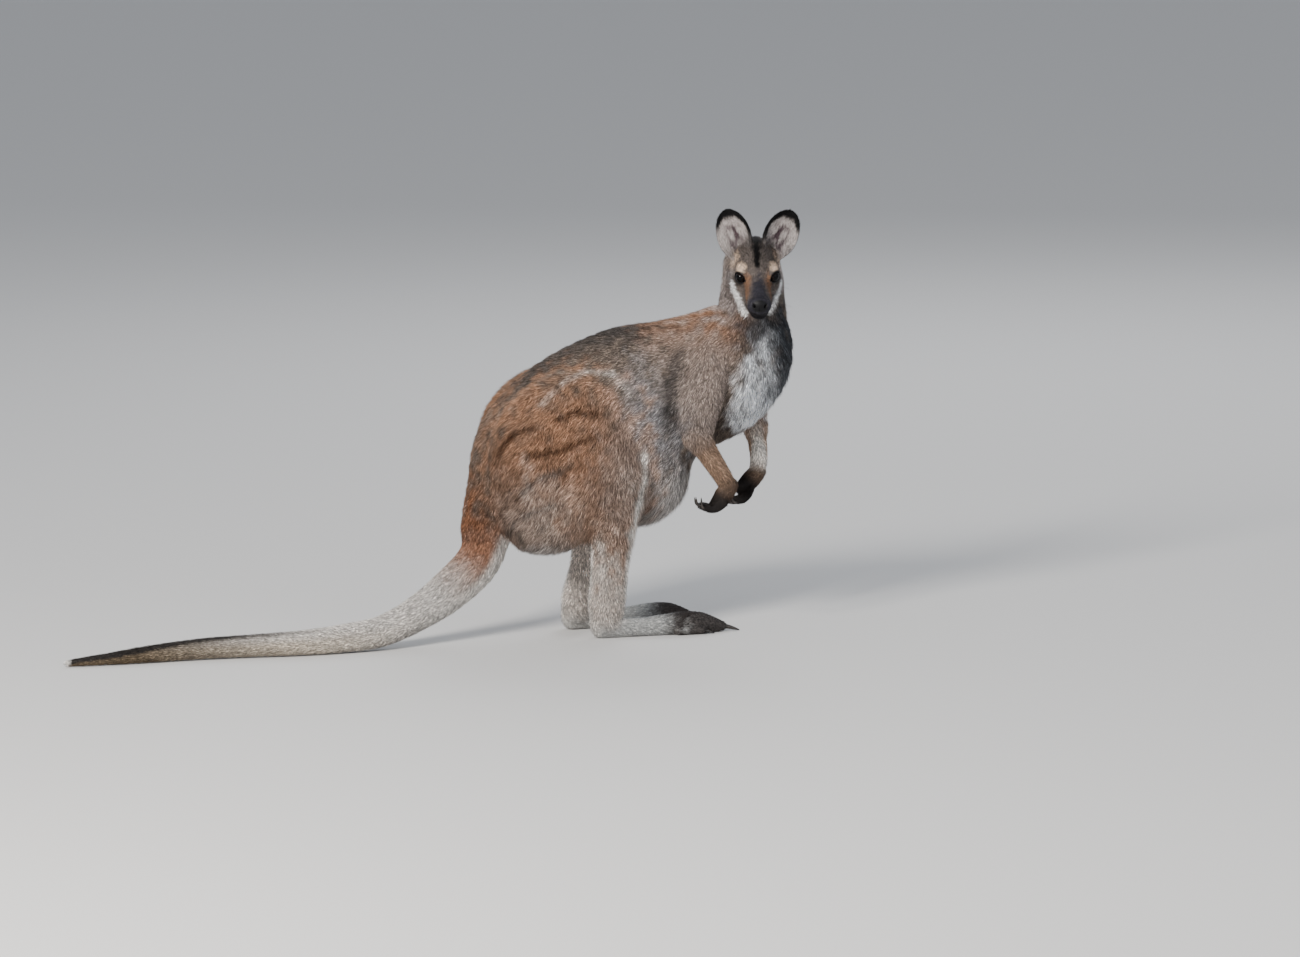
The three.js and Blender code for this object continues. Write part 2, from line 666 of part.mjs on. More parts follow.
function addTail() {
  const lengths = [
    ["tail_middle", "tailBend", "tailMiddle", MESHES.tailMiddle],
    ["tail_lower", "tailMiddle", "tailEnd", MESHES.tailLower],
    ["tail_end", "tailEnd", null, MESHES.tailEnd],
  ];
  for (const [name, near, far, mesh] of lengths) {
    const low = [far ? CUTS[far].at[0] - 30 : -830, -260, -20];
    const high = [CUTS[near].at[0] + 40, -40, 120];
    const cut = keepBelow(onFloor(surfaceOf(tube(TAIL), low, high, mesh)), CUTS[near]);
    addPart(name, "coat", largest(far ? keepAbove(cut, CUTS[far]) : cut));
  }
}

/** A hind leg, parted across the knee: the shank keeps what lies close round its own tube. */
function addLeg(name, leg, trunk) {
  const reach = leg.side < 0 ? [-150, -1] : [1, 150];
  const whole = surfaceOf(legField(leg), [-220, reach[0], -20], [150, reach[1], 430], MESHES.leg);
  const shankField = tube(leg.shank);
  const [knee, calf, , , , ankle] = leg.shank;
  const kneeCut = { at: calf.slice(0, 3), normal: minus(knee, calf) };
  const footCut = { at: [ankle[0], ankle[1], 33], normal: [-0.35, 0, 1] };
  const low = [ankle[0] - 60, Math.min(knee[1], ankle[1]) - 50, -20];
  const high = [knee[0] + 55, Math.max(knee[1], ankle[1]) + 50, calf[2] + 40];
  const shankSpace = surfaceOf((p) => shankField(p) - SHANK_MARGIN, low, high, MESHES.shankSpace);
  const shank = keepBelow(whole.intersect(shankSpace).subtract(trunk), kneeCut);
  const above = { ...kneeCut, at: plus(kneeCut.at, unit(kneeCut.normal), PLANE_GAP) };
  const thigh = whole.subtract(trunk).subtract(keepBelow(grown(shankSpace, FLESH_GAP), above));
  addPart(`thigh_${name}`, "rufous", largest(thigh), FLESH_SLIVER);
  addPart(`shank_${name}`, "coat", largest(keepAbove(shank, footCut)), FLESH_SLIVER);
  addFoot(name, leg, join(FILLETS.ankle, footField(leg), shankField), footCut);
}

function addFoot(name, leg, field, footCut) {
  const [x, y] = leg.heel;
  const whole = surfaceOf(field, [x - 45, y - 60, -12], [x + 235, y + 100, 60], MESHES.foot);
  let foot = keepBelow(onFloor(whole), footCut);
  for (const { name: toe, out, to, radius, claw: length, clawRadius } of TOES) {
    const rows = [0, 0.4, 1].map((t) => {
      const thickness = clawRadius * Math.sqrt(1 - 0.985 * t);
      const height = Math.max(lerp(radius, 1.2, t ** 1.5), thickness);
      const along = to - 0.4 * radius + t * (0.8 * radius + length);
      return [...onFoot(leg, [along, out * 1.12, height]), thickness, thickness * 0.8, leg.heading];
    });
    const claw = loft(rows, CLAW_SIDES);
    addPart(`claw_foot_${name}_${toe}`, "claw", claw);
    foot = foot.subtract(grown(claw, PLANE_GAP));
  }
  addPart(`foot_${name}`, "pale", largest(foot));
}

function addArm(name, arm, trunk) {
  const field = join(FILLETS.elbow, tube(arm.upper), tube(arm.fore));
  const rows = [...arm.upper, ...arm.fore];
  const low = [0, 1, 2].map((i) => Math.min(...rows.map((row) => row[i])) - 60);
  const high = [0, 1, 2].map((i) => Math.max(...rows.map((row) => row[i])) + 60);
  const [elbow, , wrist, hand] = arm.fore;
  const elbowCut = { at: plus(elbow, [0, 0, -16]), normal: minus(elbow, wrist) };
  const wristCut = { at: hand.slice(0, 3), normal: minus(wrist, hand) };
  const upper = surfaceOf(field, low, high, MESHES.upperArm).subtract(trunk);
  addPart(`upper_arm_${name}`, "coat", largest(keepAbove(upper, elbowCut)), FLESH_SLIVER);
  const fore = keepBelow(surfaceOf(field, low, high, MESHES.forearm).subtract(trunk), elbowCut);
  addPart(`forearm_${name}`, "coat", largest(keepAbove(fore, wristCut)));
  addHand(name, arm, hand, wristCut);
}

/** A hand: the palm hangs from the wrist and the fingers curl from it, each ending in a claw. */
function addHand(name, { reach, curl, open }, wrist, wristCut) {
  const across = cross(curl, reach);
  const inHand = (down, along, place) => plus(plus(plus(wrist, reach, down), curl, along), across, place);
  const palm = PALM.map(([down, along, ...size]) => [...inHand(down, along, 0), ...size, wrist[5]]);
  /** A finger's stations, turned open about the knuckle. */
  const bent = (rows, { across: place, share }) =>
    rows.map(([down, along, depth, width, spread = 1]) => {
      const [d, a] = [down - KNUCKLE[0], (along - KNUCKLE[1]) * share];
      const [c, s] = [Math.cos(rad(open)), Math.sin(rad(open))];
      const at = inHand(KNUCKLE[0] + c * d + s * a, KNUCKLE[1] + c * a - s * d, place * spread);
      return [...at, depth, width, wrist[5]];
    });
  let hand = loft(palm, PALM_SIDES);
  for (const finger of FINGERS) hand = hand.add(loft(bent(FINGER_BONES, finger), FINGER_SIDES));
  hand = hand.simplify(HAND_TRIM);
  for (const finger of FINGERS) {
    const claw = loft(bent(FINGER_CLAW, finger), CLAW_SIDES);
    addPart(`claw_hand_${name}_${finger.name}`, "claw", claw);
    hand = hand.subtract(grown(claw, PLANE_GAP));
  }
  addPart(`hand_${name}`, "dark", largest(keepBelow(hand, wristCut)));
}

addHead();
const trunkSpace = addTrunk();
addTail();
for (const [name, leg] of Object.entries(LEGS)) addLeg(name, leg, trunkSpace);
for (const [name, arm] of Object.entries(ARMS)) addArm(name, arm, trunkSpace);

export default model;
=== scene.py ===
"""A red-necked wallaby as a life-size still model: one skin, its coat, eyes, claws and whiskers.

The body is described in its own millimetres, measured from the floor between the heels, by the same
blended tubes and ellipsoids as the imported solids. The skin is that body less the depth of its coat.
"""

import logging
import math
from dataclasses import dataclass
from enum import IntEnum
from typing import Callable, Sequence

import bpy
import numpy as np
from bpy.types import Material, Mesh, Node, NodeSocket as Socket, Object
from mathutils import Matrix, Vector

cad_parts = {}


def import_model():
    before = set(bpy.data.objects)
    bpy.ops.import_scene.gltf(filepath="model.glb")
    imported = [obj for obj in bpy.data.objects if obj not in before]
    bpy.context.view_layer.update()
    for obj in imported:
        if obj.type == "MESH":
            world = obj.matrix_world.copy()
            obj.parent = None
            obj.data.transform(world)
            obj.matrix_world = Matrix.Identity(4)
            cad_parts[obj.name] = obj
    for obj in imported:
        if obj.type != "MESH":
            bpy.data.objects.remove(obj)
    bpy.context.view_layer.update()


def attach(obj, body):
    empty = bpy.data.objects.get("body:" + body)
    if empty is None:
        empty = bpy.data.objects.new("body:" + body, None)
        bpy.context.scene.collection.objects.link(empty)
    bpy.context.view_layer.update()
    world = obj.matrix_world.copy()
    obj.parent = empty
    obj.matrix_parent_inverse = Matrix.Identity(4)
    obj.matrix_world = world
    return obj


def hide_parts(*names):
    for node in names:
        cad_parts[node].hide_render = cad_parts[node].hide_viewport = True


LOG = logging.getLogger("wallaby")

Array = np.ndarray
Inputs = dict[int | str, object]
Pair = tuple[float, float]
Triple = tuple[float, float, float]
Rows = Sequence[Sequence[float]]
Unwrap = Callable[[Array], Array]

MM = 0.001
ORIGIN = np.array((-236.0, -50.0, 0.0))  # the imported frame's origin, in the body's own millimetres
BODY = "root"
HALVINGS = 24
CURVE_STEPS = 5  # straight lengths between two stations of a tube
FAR = 1000.0  # the distance given where no piece is in reach
REACH = 62.0  # how far from a piece its distance still counts
SAMPLE_BOX = 80.0  # points are measured in boxes of this size
FLOOR_CLEARANCE = 0.4
CORE = 0.05  # nearer the middle than this share of a piece's size, its distance is held


# ---- directions
def unit(vector: Sequence[float]) -> Array:
    """A vector of length one."""
    made = np.asarray(vector, float)
    return made / max(float(np.linalg.norm(made)), 1e-9)


def units(vectors: Array) -> Array:
    """Rows of vectors, each of length one."""
    return vectors / np.maximum(np.linalg.norm(vectors, axis=-1, keepdims=True), 1e-9)


def eased(values: Array, start: float, end: float) -> Array:
    """A smooth ramp from 0 at one value to 1 at another."""
    share = np.clip((values - start) / (end - start), 0.0, 1.0)
    return share * share * (3.0 - 2.0 * share)


@dataclass(frozen=True)
class Axes:
    """Three square directions of a part of the body."""

    ahead: Array
    right: Array
    up: Array

    @staticmethod
    def turned(heading: float, pitch: float = 0.0) -> "Axes":
        """Axes for a heading from straight ahead and a pitch.

        Args:
            heading: degrees, positive towards the left.
            pitch: degrees, positive upwards.

        Returns:
            The turned axes.
        """
        h, p = math.radians(heading), math.radians(pitch)
        ahead = np.array((math.cos(h) * math.cos(p), math.sin(h) * math.cos(p), math.sin(p)))
        right = np.array((math.sin(h), -math.cos(h), 0.0))
        return Axes(ahead, right, np.cross(right, ahead))

    def vector(self, parts: Sequence[float]) -> Array:
        """A vector given by its ahead, right and up parts."""
        return self.ahead * parts[0] + self.right * parts[1] + self.up * parts[2]

    def local(self, points: Array, origin: Array) -> Array:
        """Points as ahead, right and up from an origin."""
        return (points - origin) @ np.stack((self.ahead, self.right, self.up), axis=1)


LEVEL = Axes.turned(0.0)


def catmull_rom(rows: Rows) -> Array:
    """A smooth curve through rows of numbers.

    Args:
        rows: the numbers at each station.

    Returns:
        The rows of the curve, CURVE_STEPS to each stretch.
    """
    fixed = np.asarray(rows, float)
    padded = np.vstack((fixed[:1], fixed, fixed[-1:]))
    t = (np.arange(CURVE_STEPS) / CURVE_STEPS)[:, None]
    made = []
    for a, b, c, d in zip(padded[:-3], padded[1:-2], padded[2:-1], padded[3:]):
        slope0, slope1, span = (c - a) / 2, (d - b) / 2, b - c
        bend = -3 * span - 2 * slope0 - slope1
        made.append(b + t * (slope0 + t * (bend + t * (2 * span + slope0 + slope1))))
    made.append(fixed[-1:])
    return np.vstack(made)


# ---- fields
def smooth_min(a: Array, b: Array, fillet: float) -> Array:
    """The smaller of two fields, with a fillet where they come close."""
    h = np.maximum(fillet - np.abs(a - b), 0.0)
    return np.minimum(a, b) - h * h / (4.0 * fillet)


class Field:
    """A shape as a distance in millimetres, negative inside."""

    low: Array
    high: Array

    def meets(self, low: Array, high: Array) -> bool:
        """Whether the shape is in reach of a box."""
        return bool(np.all(self.low - REACH < high) and np.all(self.high + REACH > low))

    def distance(self, points: Array) -> Array:
        """The distance of each point."""
        raise NotImplementedError


class Ellipsoid(Field):
    """An ellipsoid with its radii along the axes it is given."""

    def __init__(self, at: Sequence[float], radii: Sequence[float], axes: Axes = LEVEL) -> None:
        """Sets the ellipsoid's place, radii and axes.

        Args:
            at: its middle.
            radii: its half sizes along the axes.
            axes: the ways they lie.
        """
        self.at = np.asarray(at, float)
        self.radii = np.asarray(radii, float)
        self.axes = axes
        self.low = self.at - self.radii.max()
        self.high = self.at + self.radii.max()

    def distance(self, points: Array) -> Array:
        """The distance along each point's ray from the centre.

        Args:
            points: places in the body's millimetres.

        Returns:
            Millimetres, negative inside.
        """
        local = self.axes.local(points, self.at)
        k = np.maximum(np.linalg.norm(local / self.radii, axis=1), CORE)
        return np.linalg.norm(local, axis=1) * (1.0 - 1.0 / k) - (k <= CORE) * self.radii.min()

    def unwrap(self, points: Array) -> Array:
        """Points laid flat by their angle from the right-hand axis and their bearing about it.

        Args:
            points: places in the body's millimetres.

        Returns:
            Two shares of the map for each.
        """
        local = units(self.axes.local(points, self.at) / self.radii)
        away = np.arccos(np.clip(local[:, 1], -1.0, 1.0)) / math.pi
        flat = units(local[:, (0, 2)])
        return 0.5 + 0.5 * away[:, None] * flat


@dataclass
class Course:
    """Where points lie along and about a tube."""

    distance: Array
    share: Array
    angle: Array
    tangent: Array


class Tube(Field):
    """A tube of elliptical sections through stations of x, y, z, depth, width and heading."""

    def __init__(self, stations: Rows, coat: Sequence[float] | float = 0.0) -> None:
        """Builds the tube's lengths.

        Args:
            stations: the rows of the outer shape.
            coat: how much smaller than it the skin is, in all or at each station.
        """
        rows = np.array(stations, float)
        rows[:, 3:5] -= np.reshape(coat, (-1, 1))
        rows = catmull_rom(rows)
        self.start, self.end = rows[:-1, :3], rows[1:, :3]
        span = self.end - self.start
        self.length = np.linalg.norm(span, axis=1)
        self.axis = span / self.length[:, None]
        heading = np.radians((rows[:-1, 5] + rows[1:, 5]) / 2)
        out = np.stack((np.sin(heading), -np.cos(heading), np.zeros(len(heading))), axis=1)
        self.side = units(out - np.sum(out * self.axis, axis=1, keepdims=True) * self.axis)
        self.deep = np.cross(self.side, self.axis)
        self.size = rows[:, 3:5]
        widest = np.maximum(self.size[:-1].max(axis=1), self.size[1:].max(axis=1))[:, None]
        self.lows = np.minimum(self.start, self.end) - widest
        self.highs = np.maximum(self.start, self.end) + widest
        self.low, self.high = self.lows.min(axis=0), self.highs.max(axis=0)

    def _lengths(self, low: Array, high: Array) -> Array:
        """The lengths in reach of a box."""
        near = np.all(self.lows - REACH < high, axis=1) & np.all(self.highs + REACH > low, axis=1)
        return np.flatnonzero(near)

    def _measure(self, points: Array, i: int) -> tuple[Array, Array, Array]:
        """The distance, share and section place of points about one length.

        Args:
            points: the places to measure.
            i: which length.

        Returns:
            Distance, share of the length, and place ahead, across and past its section.
        """
        local = (points - self.start[i]) @ np.stack((self.deep[i], self.side[i], self.axis[i]), axis=1)
        share = np.clip(local[:, 2] / self.length[i], 0.0, 1.0)
        local[:, 2] -= share * self.length[i]
        depth = self.size[i, 0] + share * (self.size[i + 1, 0] - self.size[i, 0])
        width = self.size[i, 1] + share * (self.size[i + 1, 1] - self.size[i, 1])
        thin = np.minimum(depth, width)
        k = np.sqrt((local[:, 0] / depth) ** 2 + (local[:, 1] / width) ** 2 + (local[:, 2] / thin) ** 2)
        far = np.sqrt(local[:, 0] ** 2 + local[:, 1] ** 2 + local[:, 2] ** 2)
        return np.where(k < CORE, -thin, far * (1.0 - 1.0 / np.maximum(k, CORE))), share, local

    def distance(self, points: Array) -> Array:
        """The distance to the nearest length.

        Args:
            points: places in the body's millimetres.

        Returns:
            Millimetres, negative inside.
        """
        best = np.full(len(points), FAR)
        for i in self._lengths(points.min(axis=0), points.max(axis=0)):
            np.minimum(best, self._measure(points, i)[0], out=best)
        return best

    def follow(self, points: Array) -> Course:
        """Where points lie along and about the tube.

        Args:
            points: the places to measure, near the tube or far from it.

        Returns:
            Their distance, share of the way, bearing and direction of the tube.
        """
        count = len(points)
        course = Course(np.full(count, np.inf), np.zeros(count), np.zeros(count), np.zeros((count, 3)))
        for i in range(len(self.length)):
            distance, share, local = self._measure(points, i)
            nearer = distance < course.distance
            course.distance[nearer] = distance[nearer]
            course.share[nearer] = (i + share[nearer]) / len(self.length)
            course.angle[nearer] = np.arctan2(local[nearer, 1], local[nearer, 0])
            course.tangent[nearer] = self.axis[i]
        return course

    def unwrap(self, points: Array) -> Array:
        """Points by their bearing about the tube and their share of its way."""
        course = self.follow(points)
        return np.stack((0.5 + course.angle / (2 * math.pi), course.share), axis=1)


class Joined(Field):
    """Fields that run together with a fillet."""

    def __init__(self, fillet: float, *parts: Field) -> None:
        """Joins the parts.

        Args:
            fillet: how widely they blend, in mm.
            parts: the fields to join.
        """
        self.fillet = fillet
        self.parts = parts
        self.low = np.min([part.low for part in parts], axis=0)
        self.high = np.max([part.high for part in parts], axis=0)

    def distance(self, points: Array) -> Array:
        """The filleted smallest of the parts' distances.

        Args:
            points: places in the body's millimetres.

        Returns:
            Distances, or FAR where no part is in reach.
        """
        low, high = points.min(axis=0), points.max(axis=0)
        total = None
        for part in self.parts:
            if part.meets(low, high):
                own = part.distance(points)
                total = own if total is None else smooth_min(total, own, self.fillet)
        return np.full(len(points), FAR) if total is None else total


class Carved(Field):
    """A field with others cut out of it."""

    def __init__(self, base: Field, fillet: float, *tools: Field) -> None:
        """Cuts the tools out of the base."""
        self.base, self.fillet, self.tools = base, fillet, tools
        self.low, self.high = base.low, base.high

    def distance(self, points: Array) -> Array:
        """The base's distance, or the tool's wall's where that is farther out.

        Args:
            points: places in the body's millimetres.

        Returns:
            Millimetres, negative inside.
        """
        low, high = points.min(axis=0), points.max(axis=0)
        total = -self.base.distance(points)
        for tool in self.tools:
            if tool.meets(low, high):
                total = smooth_min(total, tool.distance(points), self.fillet)
        return -total


class Floored(Field):
    """A field cut off flat a little above the floor."""

    def __init__(self, base: Field, height: float) -> None:
        """Cuts the base at the height."""
        self.base, self.height = base, height
        self.low, self.high = base.low, base.high

    def distance(self, points: Array) -> Array:
        """The base's distance or the floor's."""
        return np.maximum(self.base.distance(points), self.height - points[:, 2])


def sampled(field: Field, rows: Array) -> Array:
    """A field at rows of points that lie close together.

    Args:
        field: the field to measure.
        rows: points as (rows, points in a row, 3), measured box by box so that far pieces are passed over.

    Returns:
        The distances as (rows, points in a row).
    """
    _, group = np.unique(np.floor(rows[:, 0] / SAMPLE_BOX).astype(int), axis=0, return_inverse=True)
    group = group.reshape(-1)
    order = np.argsort(group, kind="stable")
    values = np.empty(rows.shape[:2])
    for members in np.split(order, np.flatnonzero(np.diff(group[order])) + 1):
        values[members] = field.distance(rows[members].reshape(-1, 3)).reshape(len(members), -1)
    return values


# ---- the body's measures
HEAD_PLACE = np.array((245.6, -38.0, 538.0))  # midway between the eyes
HEAD_HEADING = -88.0
HEAD_AXES = Axes.turned(HEAD_HEADING, -23.0)
PELVIS_PLACE = np.array((-60.0, -2.0, 0.0))
PELVIS_AXES = Axes.turned(10.0)
EYE_RADIUS = 10.5
EYE_PLACE = (11.0, 22.0, 8.0)
SIDES = {"right": 1, "left": -1}

# Stations of the tubes: x, y, z, depth and width of the half section, heading of the section in degrees.
SPINE = (
    (-168, -25, 172, 37, 40, 13),
    (-140, -17, 232, 56, 71, 11),
    (-97, -8, 285, 87, 89, 10),
    (-35, 2, 333, 96, 95, 8),
    (45, 8, 352, 113, 92, 2),
    (115, 7, 368, 108, 84, -8),
    (176, 1, 390, 101, 76, -18),
    (222, -6, 426, 85, 66, -26),
    (236, -5, 466, 60, 54, -38),
    (238, 2, 500, 54, 49, -52),
    (238, 12, 548, 42, 43.5, -70),
)
SPINE_COAT = (5, 6, 6.5, 7, 7, 7, 7, 7, 6, 5, 4)
TAIL = (
    (-158, -20, 190, 39, 42, 14),
    (-177, -37, 124, 37, 36, 20),
    (-222, -60, 80, 35, 32, 28),
    (-272, -88, 49, 30, 28, 30),
    (-322, -116, 29, 26.5, 25.5, 27),
    (-372, -137, 23, 24.5, 23.5, 20),
    (-445, -156, 19.5, 21, 20.5, 9),
    (-520, -163, 18, 19.3, 19, 6),
    (-592, -174, 16.6, 17.8, 17, 12),
    (-665, -193, 13.6, 14.6, 13.5, 14),
    (-723, -207, 10, 11, 9.8, 12),
    (-765, -214, 7.4, 8.4, 7.4, 8),
    (-784, -217, 6, 6.6, 5.8, 8),
)
TAIL_COAT = (5, 5, 5, 5, 4.5, 4.3, 4, 3.8, 3.5, 3, 2.6, 2.3, 2.1)
BELLY = ((58, 6, 258), (88, 78, 98))
BELLY_COAT = 7.5

THIGH = ((13, 64, 284), (124, 53, 120))
HAUNCH = ((-26, 54, 178), (66, 36, 50))
THIGH_COAT = 7.0
SHANKS = {
    "right": (
        (38, -62, 246, 42, 33, 10),
        (28, -59, 190, 36, 28, 10),
        (20, -54, 142, 31, 25, 10),
        (16, -49, 95, 28.5, 23, 11),
        (11, -45, 50, 28, 21.5, 11),
        (9, -44, 26, 24, 19, 11),
    ),
    "left": (
        (16, 66, 246, 42, 33, 10),
        (2, 63, 190, 36, 28, 11),
        (-11, 59, 142, 28, 25, 12),
        (-20, 53, 95, 24.5, 22, 13),
        (-31, 48, 50, 26, 21, 14),
        (-34, 46, 26, 24, 19, 14),
    ),
}
SHANK_COAT = (6, 5, 3.5, 2.6, 2.2, 2)
HEELS = {"right": ((-10, -47, 0), 11.0), "left": ((-54, 41, 0), 14.0)}
# The foot's stations run along its length: distance, height, depth, width.
FOOT = (
    (14, 17, 19, 17),
    (45, 14, 15.5, 16.5),
    (75, 13, 14.5, 17),
    (108, 14.5, 16, 18.5),
    (138, 16, 17.5, 21),
    (163, 15.5, 16.5, 18.5),
    (187, 10.5, 11.5, 11),
)
FOOT_COAT = 1.6


@dataclass(frozen=True)
class Toe:
    """A hind toe: its place across the foot, its reach along it and its claw."""

    name: str
    out: float
    start: float
    end: float
    radius: float
    claw: float
    claw_radius: float


TOES = (
    Toe("4", 0, 150, 196, 9.5, 24, 4.6),
    Toe("5", 15, 128, 164, 7.2, 15, 3.3),
    Toe("3", -12.5, 130, 160, 4.6, 9, 2.1),
    Toe("2", -18.5, 128, 156, 4.6, 9, 2.1),
)
TOE_COAT = 1.1

UPPER_ARMS = {
    "right": (
        (168, -46, 424, 44, 24, -24),
        (158, -60, 374, 42, 27, -24),
        (152, -73, 332, 32, 25, -20),
        (152, -77, 303, 22, 20, -12),
    ),
    "left": (
        (220, 40, 410, 38, 24, -34),
        (231, 50, 362, 34, 24, -34),
        (238, 49, 320, 23, 20, -38),
        (240, 45, 300, 19, 17, -40),
    ),
}
UPPER_ARM_COAT = (5, 4.5, 4, 3)
FOREARMS = {
    "right": (
        (152, -77, 305, 21, 19, -6),
        (171, -75, 273, 16.5, 15, 0),
        (189, -72, 243, 14, 12.5, 0),
        (197, -70, 226, 13, 11, 0),
    ),
    "left": (
        (240, 46, 304, 18.5, 17, -38),
        (243, 38, 276, 15, 14, -36),
        (244, 31, 252, 13.4, 12, -36),
        (240, 25, 233, 12.8, 10.8, -40),
    ),
}
FOREARM_COAT = (3, 2.2, 1.6, 1.2)


@dataclass(frozen=True)
class HandPose:
    """Which way a hand hangs and curls, and how far its fingers are open in degrees."""

    reach: Triple
    curl: Triple
    opening: float


HAND_POSES = {
    "right": HandPose((-0.3, 0, -0.954), (-0.949, -0.1, 0.298), 0.0),
    "left": HandPose((-0.46, -0.12, -0.88), (-0.86, -0.2, 0.477), 40.0),
}
# Stations of the hand: distance down from the wrist, along the curl, depth, width, spread.
PALM = ((-6, 0, 13, 11.5), (8, 3, 14.5, 13), (19, 6.5, 13, 16), (29, 12, 9.5, 16))
PALM_COAT = 1.0
FINGER_BONES = ((21, 2, 6.4, 3.4, 1), (31, 11, 6, 3.4, 1), (36, 22, 5, 3.3, 1.1), (36, 33, 4, 3, 1.18))
FINGER_COAT = 0.3
FINGER_CLAW = ((37, 30, 2.8, 2, 1.17), (36, 40, 2, 1.4, 1.2), (27, 45.5, 0.35, 0.3, 1.2))
KNUCKLE = (21.0, 1.0)
# Fingers, thumb first: sideways place at the knuckle and share of the full length.
FINGERS = {"1": (-14, 0.72), "2": (-7, 0.93), "3": (0, 1.0), "4": (7, 0.95), "5": (14, 0.8)}

# The head's own pieces, in its frame from midway between the eyes: ahead, right, up.
CRANIUM = ((-30, 0, 12), (40, 33, 32), 3.2)
FOREHEAD = ((-4, 0, 9), (32, 28, 24), 1.8)
CHEEK = ((-12, 24, -12), (30, 16, 26), 2.8)
BROW = ((3, 20, 16), (17, 11, 8), 1.6)
NOSE_PAD = ((75, 0, -4.5), (8, 13.8, 9.6), 0.0)
MUZZLE = (
    (-4, -4, 29, 24),
    (24, -7, 23, 20.5),
    (46, -10, 20, 19.5),
    (62, -11, 17.5, 18.5),
    (70, -10.5, 13.5, 15.5),
)
MUZZLE_COAT = (1.8, 1.2, 0.8, 0.5, 0.3)
JAW = ((-20, -26, 16, 22), (20, -28, 13, 19), (46, -28, 10.5, 15.5), (62, -27.5, 8.5, 11.5))
JAW_COAT = (2.4, 1.5, 0.9, 0.6)
EAR_ROOT = (-30, 23, 15)
EAR_LENGTH = 77.5
EAR_HALF_ARC = 28.0
EAR_SKIN = 2.3
# Each ear's way up and the way its hollow faces, in the head's frame.
EARS = {
    "right": ((-0.265, 0.255, 0.93), (0.88, 0.25, 0.3)),
    "left": ((-0.25, -0.4, 0.88), (0.88, -0.1, 0.3)),
}


def in_head(ahead: float, right: float, up: float) -> Array:
    """A place given in the head's frame."""
    return HEAD_PLACE + HEAD_AXES.vector((ahead, right, up))


def in_pelvis(side: int, place: Sequence[float]) -> Array:
    """A place given ahead, out to one side and above the floor, from the pelvis."""
    return PELVIS_PLACE + PELVIS_AXES.vector((place[0], side * place[1], place[2]))


def on_foot(side: str, along: float, out: float, height: float) -> Array:
    """A place on a foot: ahead of the heel, out to its outer side, above the floor."""
    heel, heading = HEELS[side]
    return np.asarray(heel, float) + Axes.turned(heading).vector((along, SIDES[side] * out, height))


# ---- special fields
@dataclass
class EarLeaf(Field):
    """An ear: a leaf that is rolled into a tube at its root and opens towards its tip."""

    side: str
    root_roll: float = 2.1  # half the leaf's turn about its middle at the root, in radians
    open_roll: float = 0.95  # and above the root, before it opens further
    unroll: float = 0.35
    blunt: float = 0.985  # the share of the length where the tip is rounded off
    bows: Pair = (5.0, 7.0)  # how far the leaf bows back with its width and along its length, in mm

    def __post_init__(self) -> None:
        """Places the leaf on its side of the head."""
        lean, turn = EARS[self.side]
        self.root = in_head(EAR_ROOT[0], SIDES[self.side] * EAR_ROOT[1], EAR_ROOT[2])
        self.up = unit(HEAD_AXES.vector(lean))
        facing = HEAD_AXES.vector(turn)
        self.front = unit(facing - facing @ self.up * self.up)
        self.across = np.cross(self.up, self.front)
        middle = self.root + self.up * EAR_LENGTH / 2
        self.low, self.high = middle - EAR_LENGTH * 0.7, middle + EAR_LENGTH * 0.7

    def _local(self, points: Array) -> Array:
        """Points as front, across and up from the ear's root."""
        return (points - self.root) @ np.stack((self.front, self.across, self.up), axis=1)

    def coordinates(self, points: Array) -> tuple[Array, Array, Array, Array]:
        """Places on the leaf.

        Args:
            points: places in the body's millimetres.

        Returns:
            Share of the length, height in mm, distance past the edge in mm and distance off the middle face.
        """
        local = self._local(points)
        along = np.clip(local[:, 2] / EAR_LENGTH, 0.0, 0.995)
        swell = np.sqrt(np.maximum(np.sin(math.pi * (0.12 + 0.88 * along**1.05)), 0.0))
        opened = (self.open_roll - self.root_roll) * eased(along, -0.1, 0.35)
        roll = self.root_roll + opened - self.unroll * along
        radius = EAR_HALF_ARC * swell / roll
        bow = self.bows[0] * swell + self.bows[1] * np.sin(0.9 * math.pi * along)
        centred = local[:, 0] - (radius - bow)
        off = radius - np.hypot(centred, local[:, 1])
        angle = np.arctan2(local[:, 1], -centred)
        return along, local[:, 2], (np.abs(angle) - roll) * radius, off

    def inward(self, points: Array) -> Array:
        """How far points are from the ear's middle towards the other ear, in mm.

        Args:
            points: places in the body's millimetres.

        Returns:
            Millimetres, negative on the outer side.
        """
        local = points - self.root
        towards = (local - np.outer(local @ self.up, self.up)) @ HEAD_AXES.right
        return -np.sign((self.root - HEAD_PLACE) @ HEAD_AXES.right) * towards

    def distance(self, points: Array) -> Array:
        """The distance to the leaf's skin, with rounded edges.

        Args:
            points: places in the body's millimetres.

        Returns:
            Millimetres, negative inside.
        """
        _, height, past, off = self.coordinates(points)
        beyond = np.maximum(height - EAR_LENGTH * self.blunt, 0.0) + np.maximum(-height, 0.0)
        return np.sqrt(off**2 + np.maximum(past, 0.0) ** 2 + beyond**2) - EAR_SKIN / 2

    def unwrap(self, points: Array) -> Array:
        """Points by their height, with the hollow and the back of the leaf side by side.

        Args:
            points: places in the body's millimetres.

        Returns:
            Two shares of the map for each.
        """
        _, height, _, off = self.coordinates(points)
        over = np.clip(self._local(points)[:, 1] / (2.6 * EAR_HALF_ARC), -0.5, 0.5) * 0.46
        return np.stack((over + np.where(off > 0, 0.75, 0.25), height / EAR_LENGTH), axis=1)


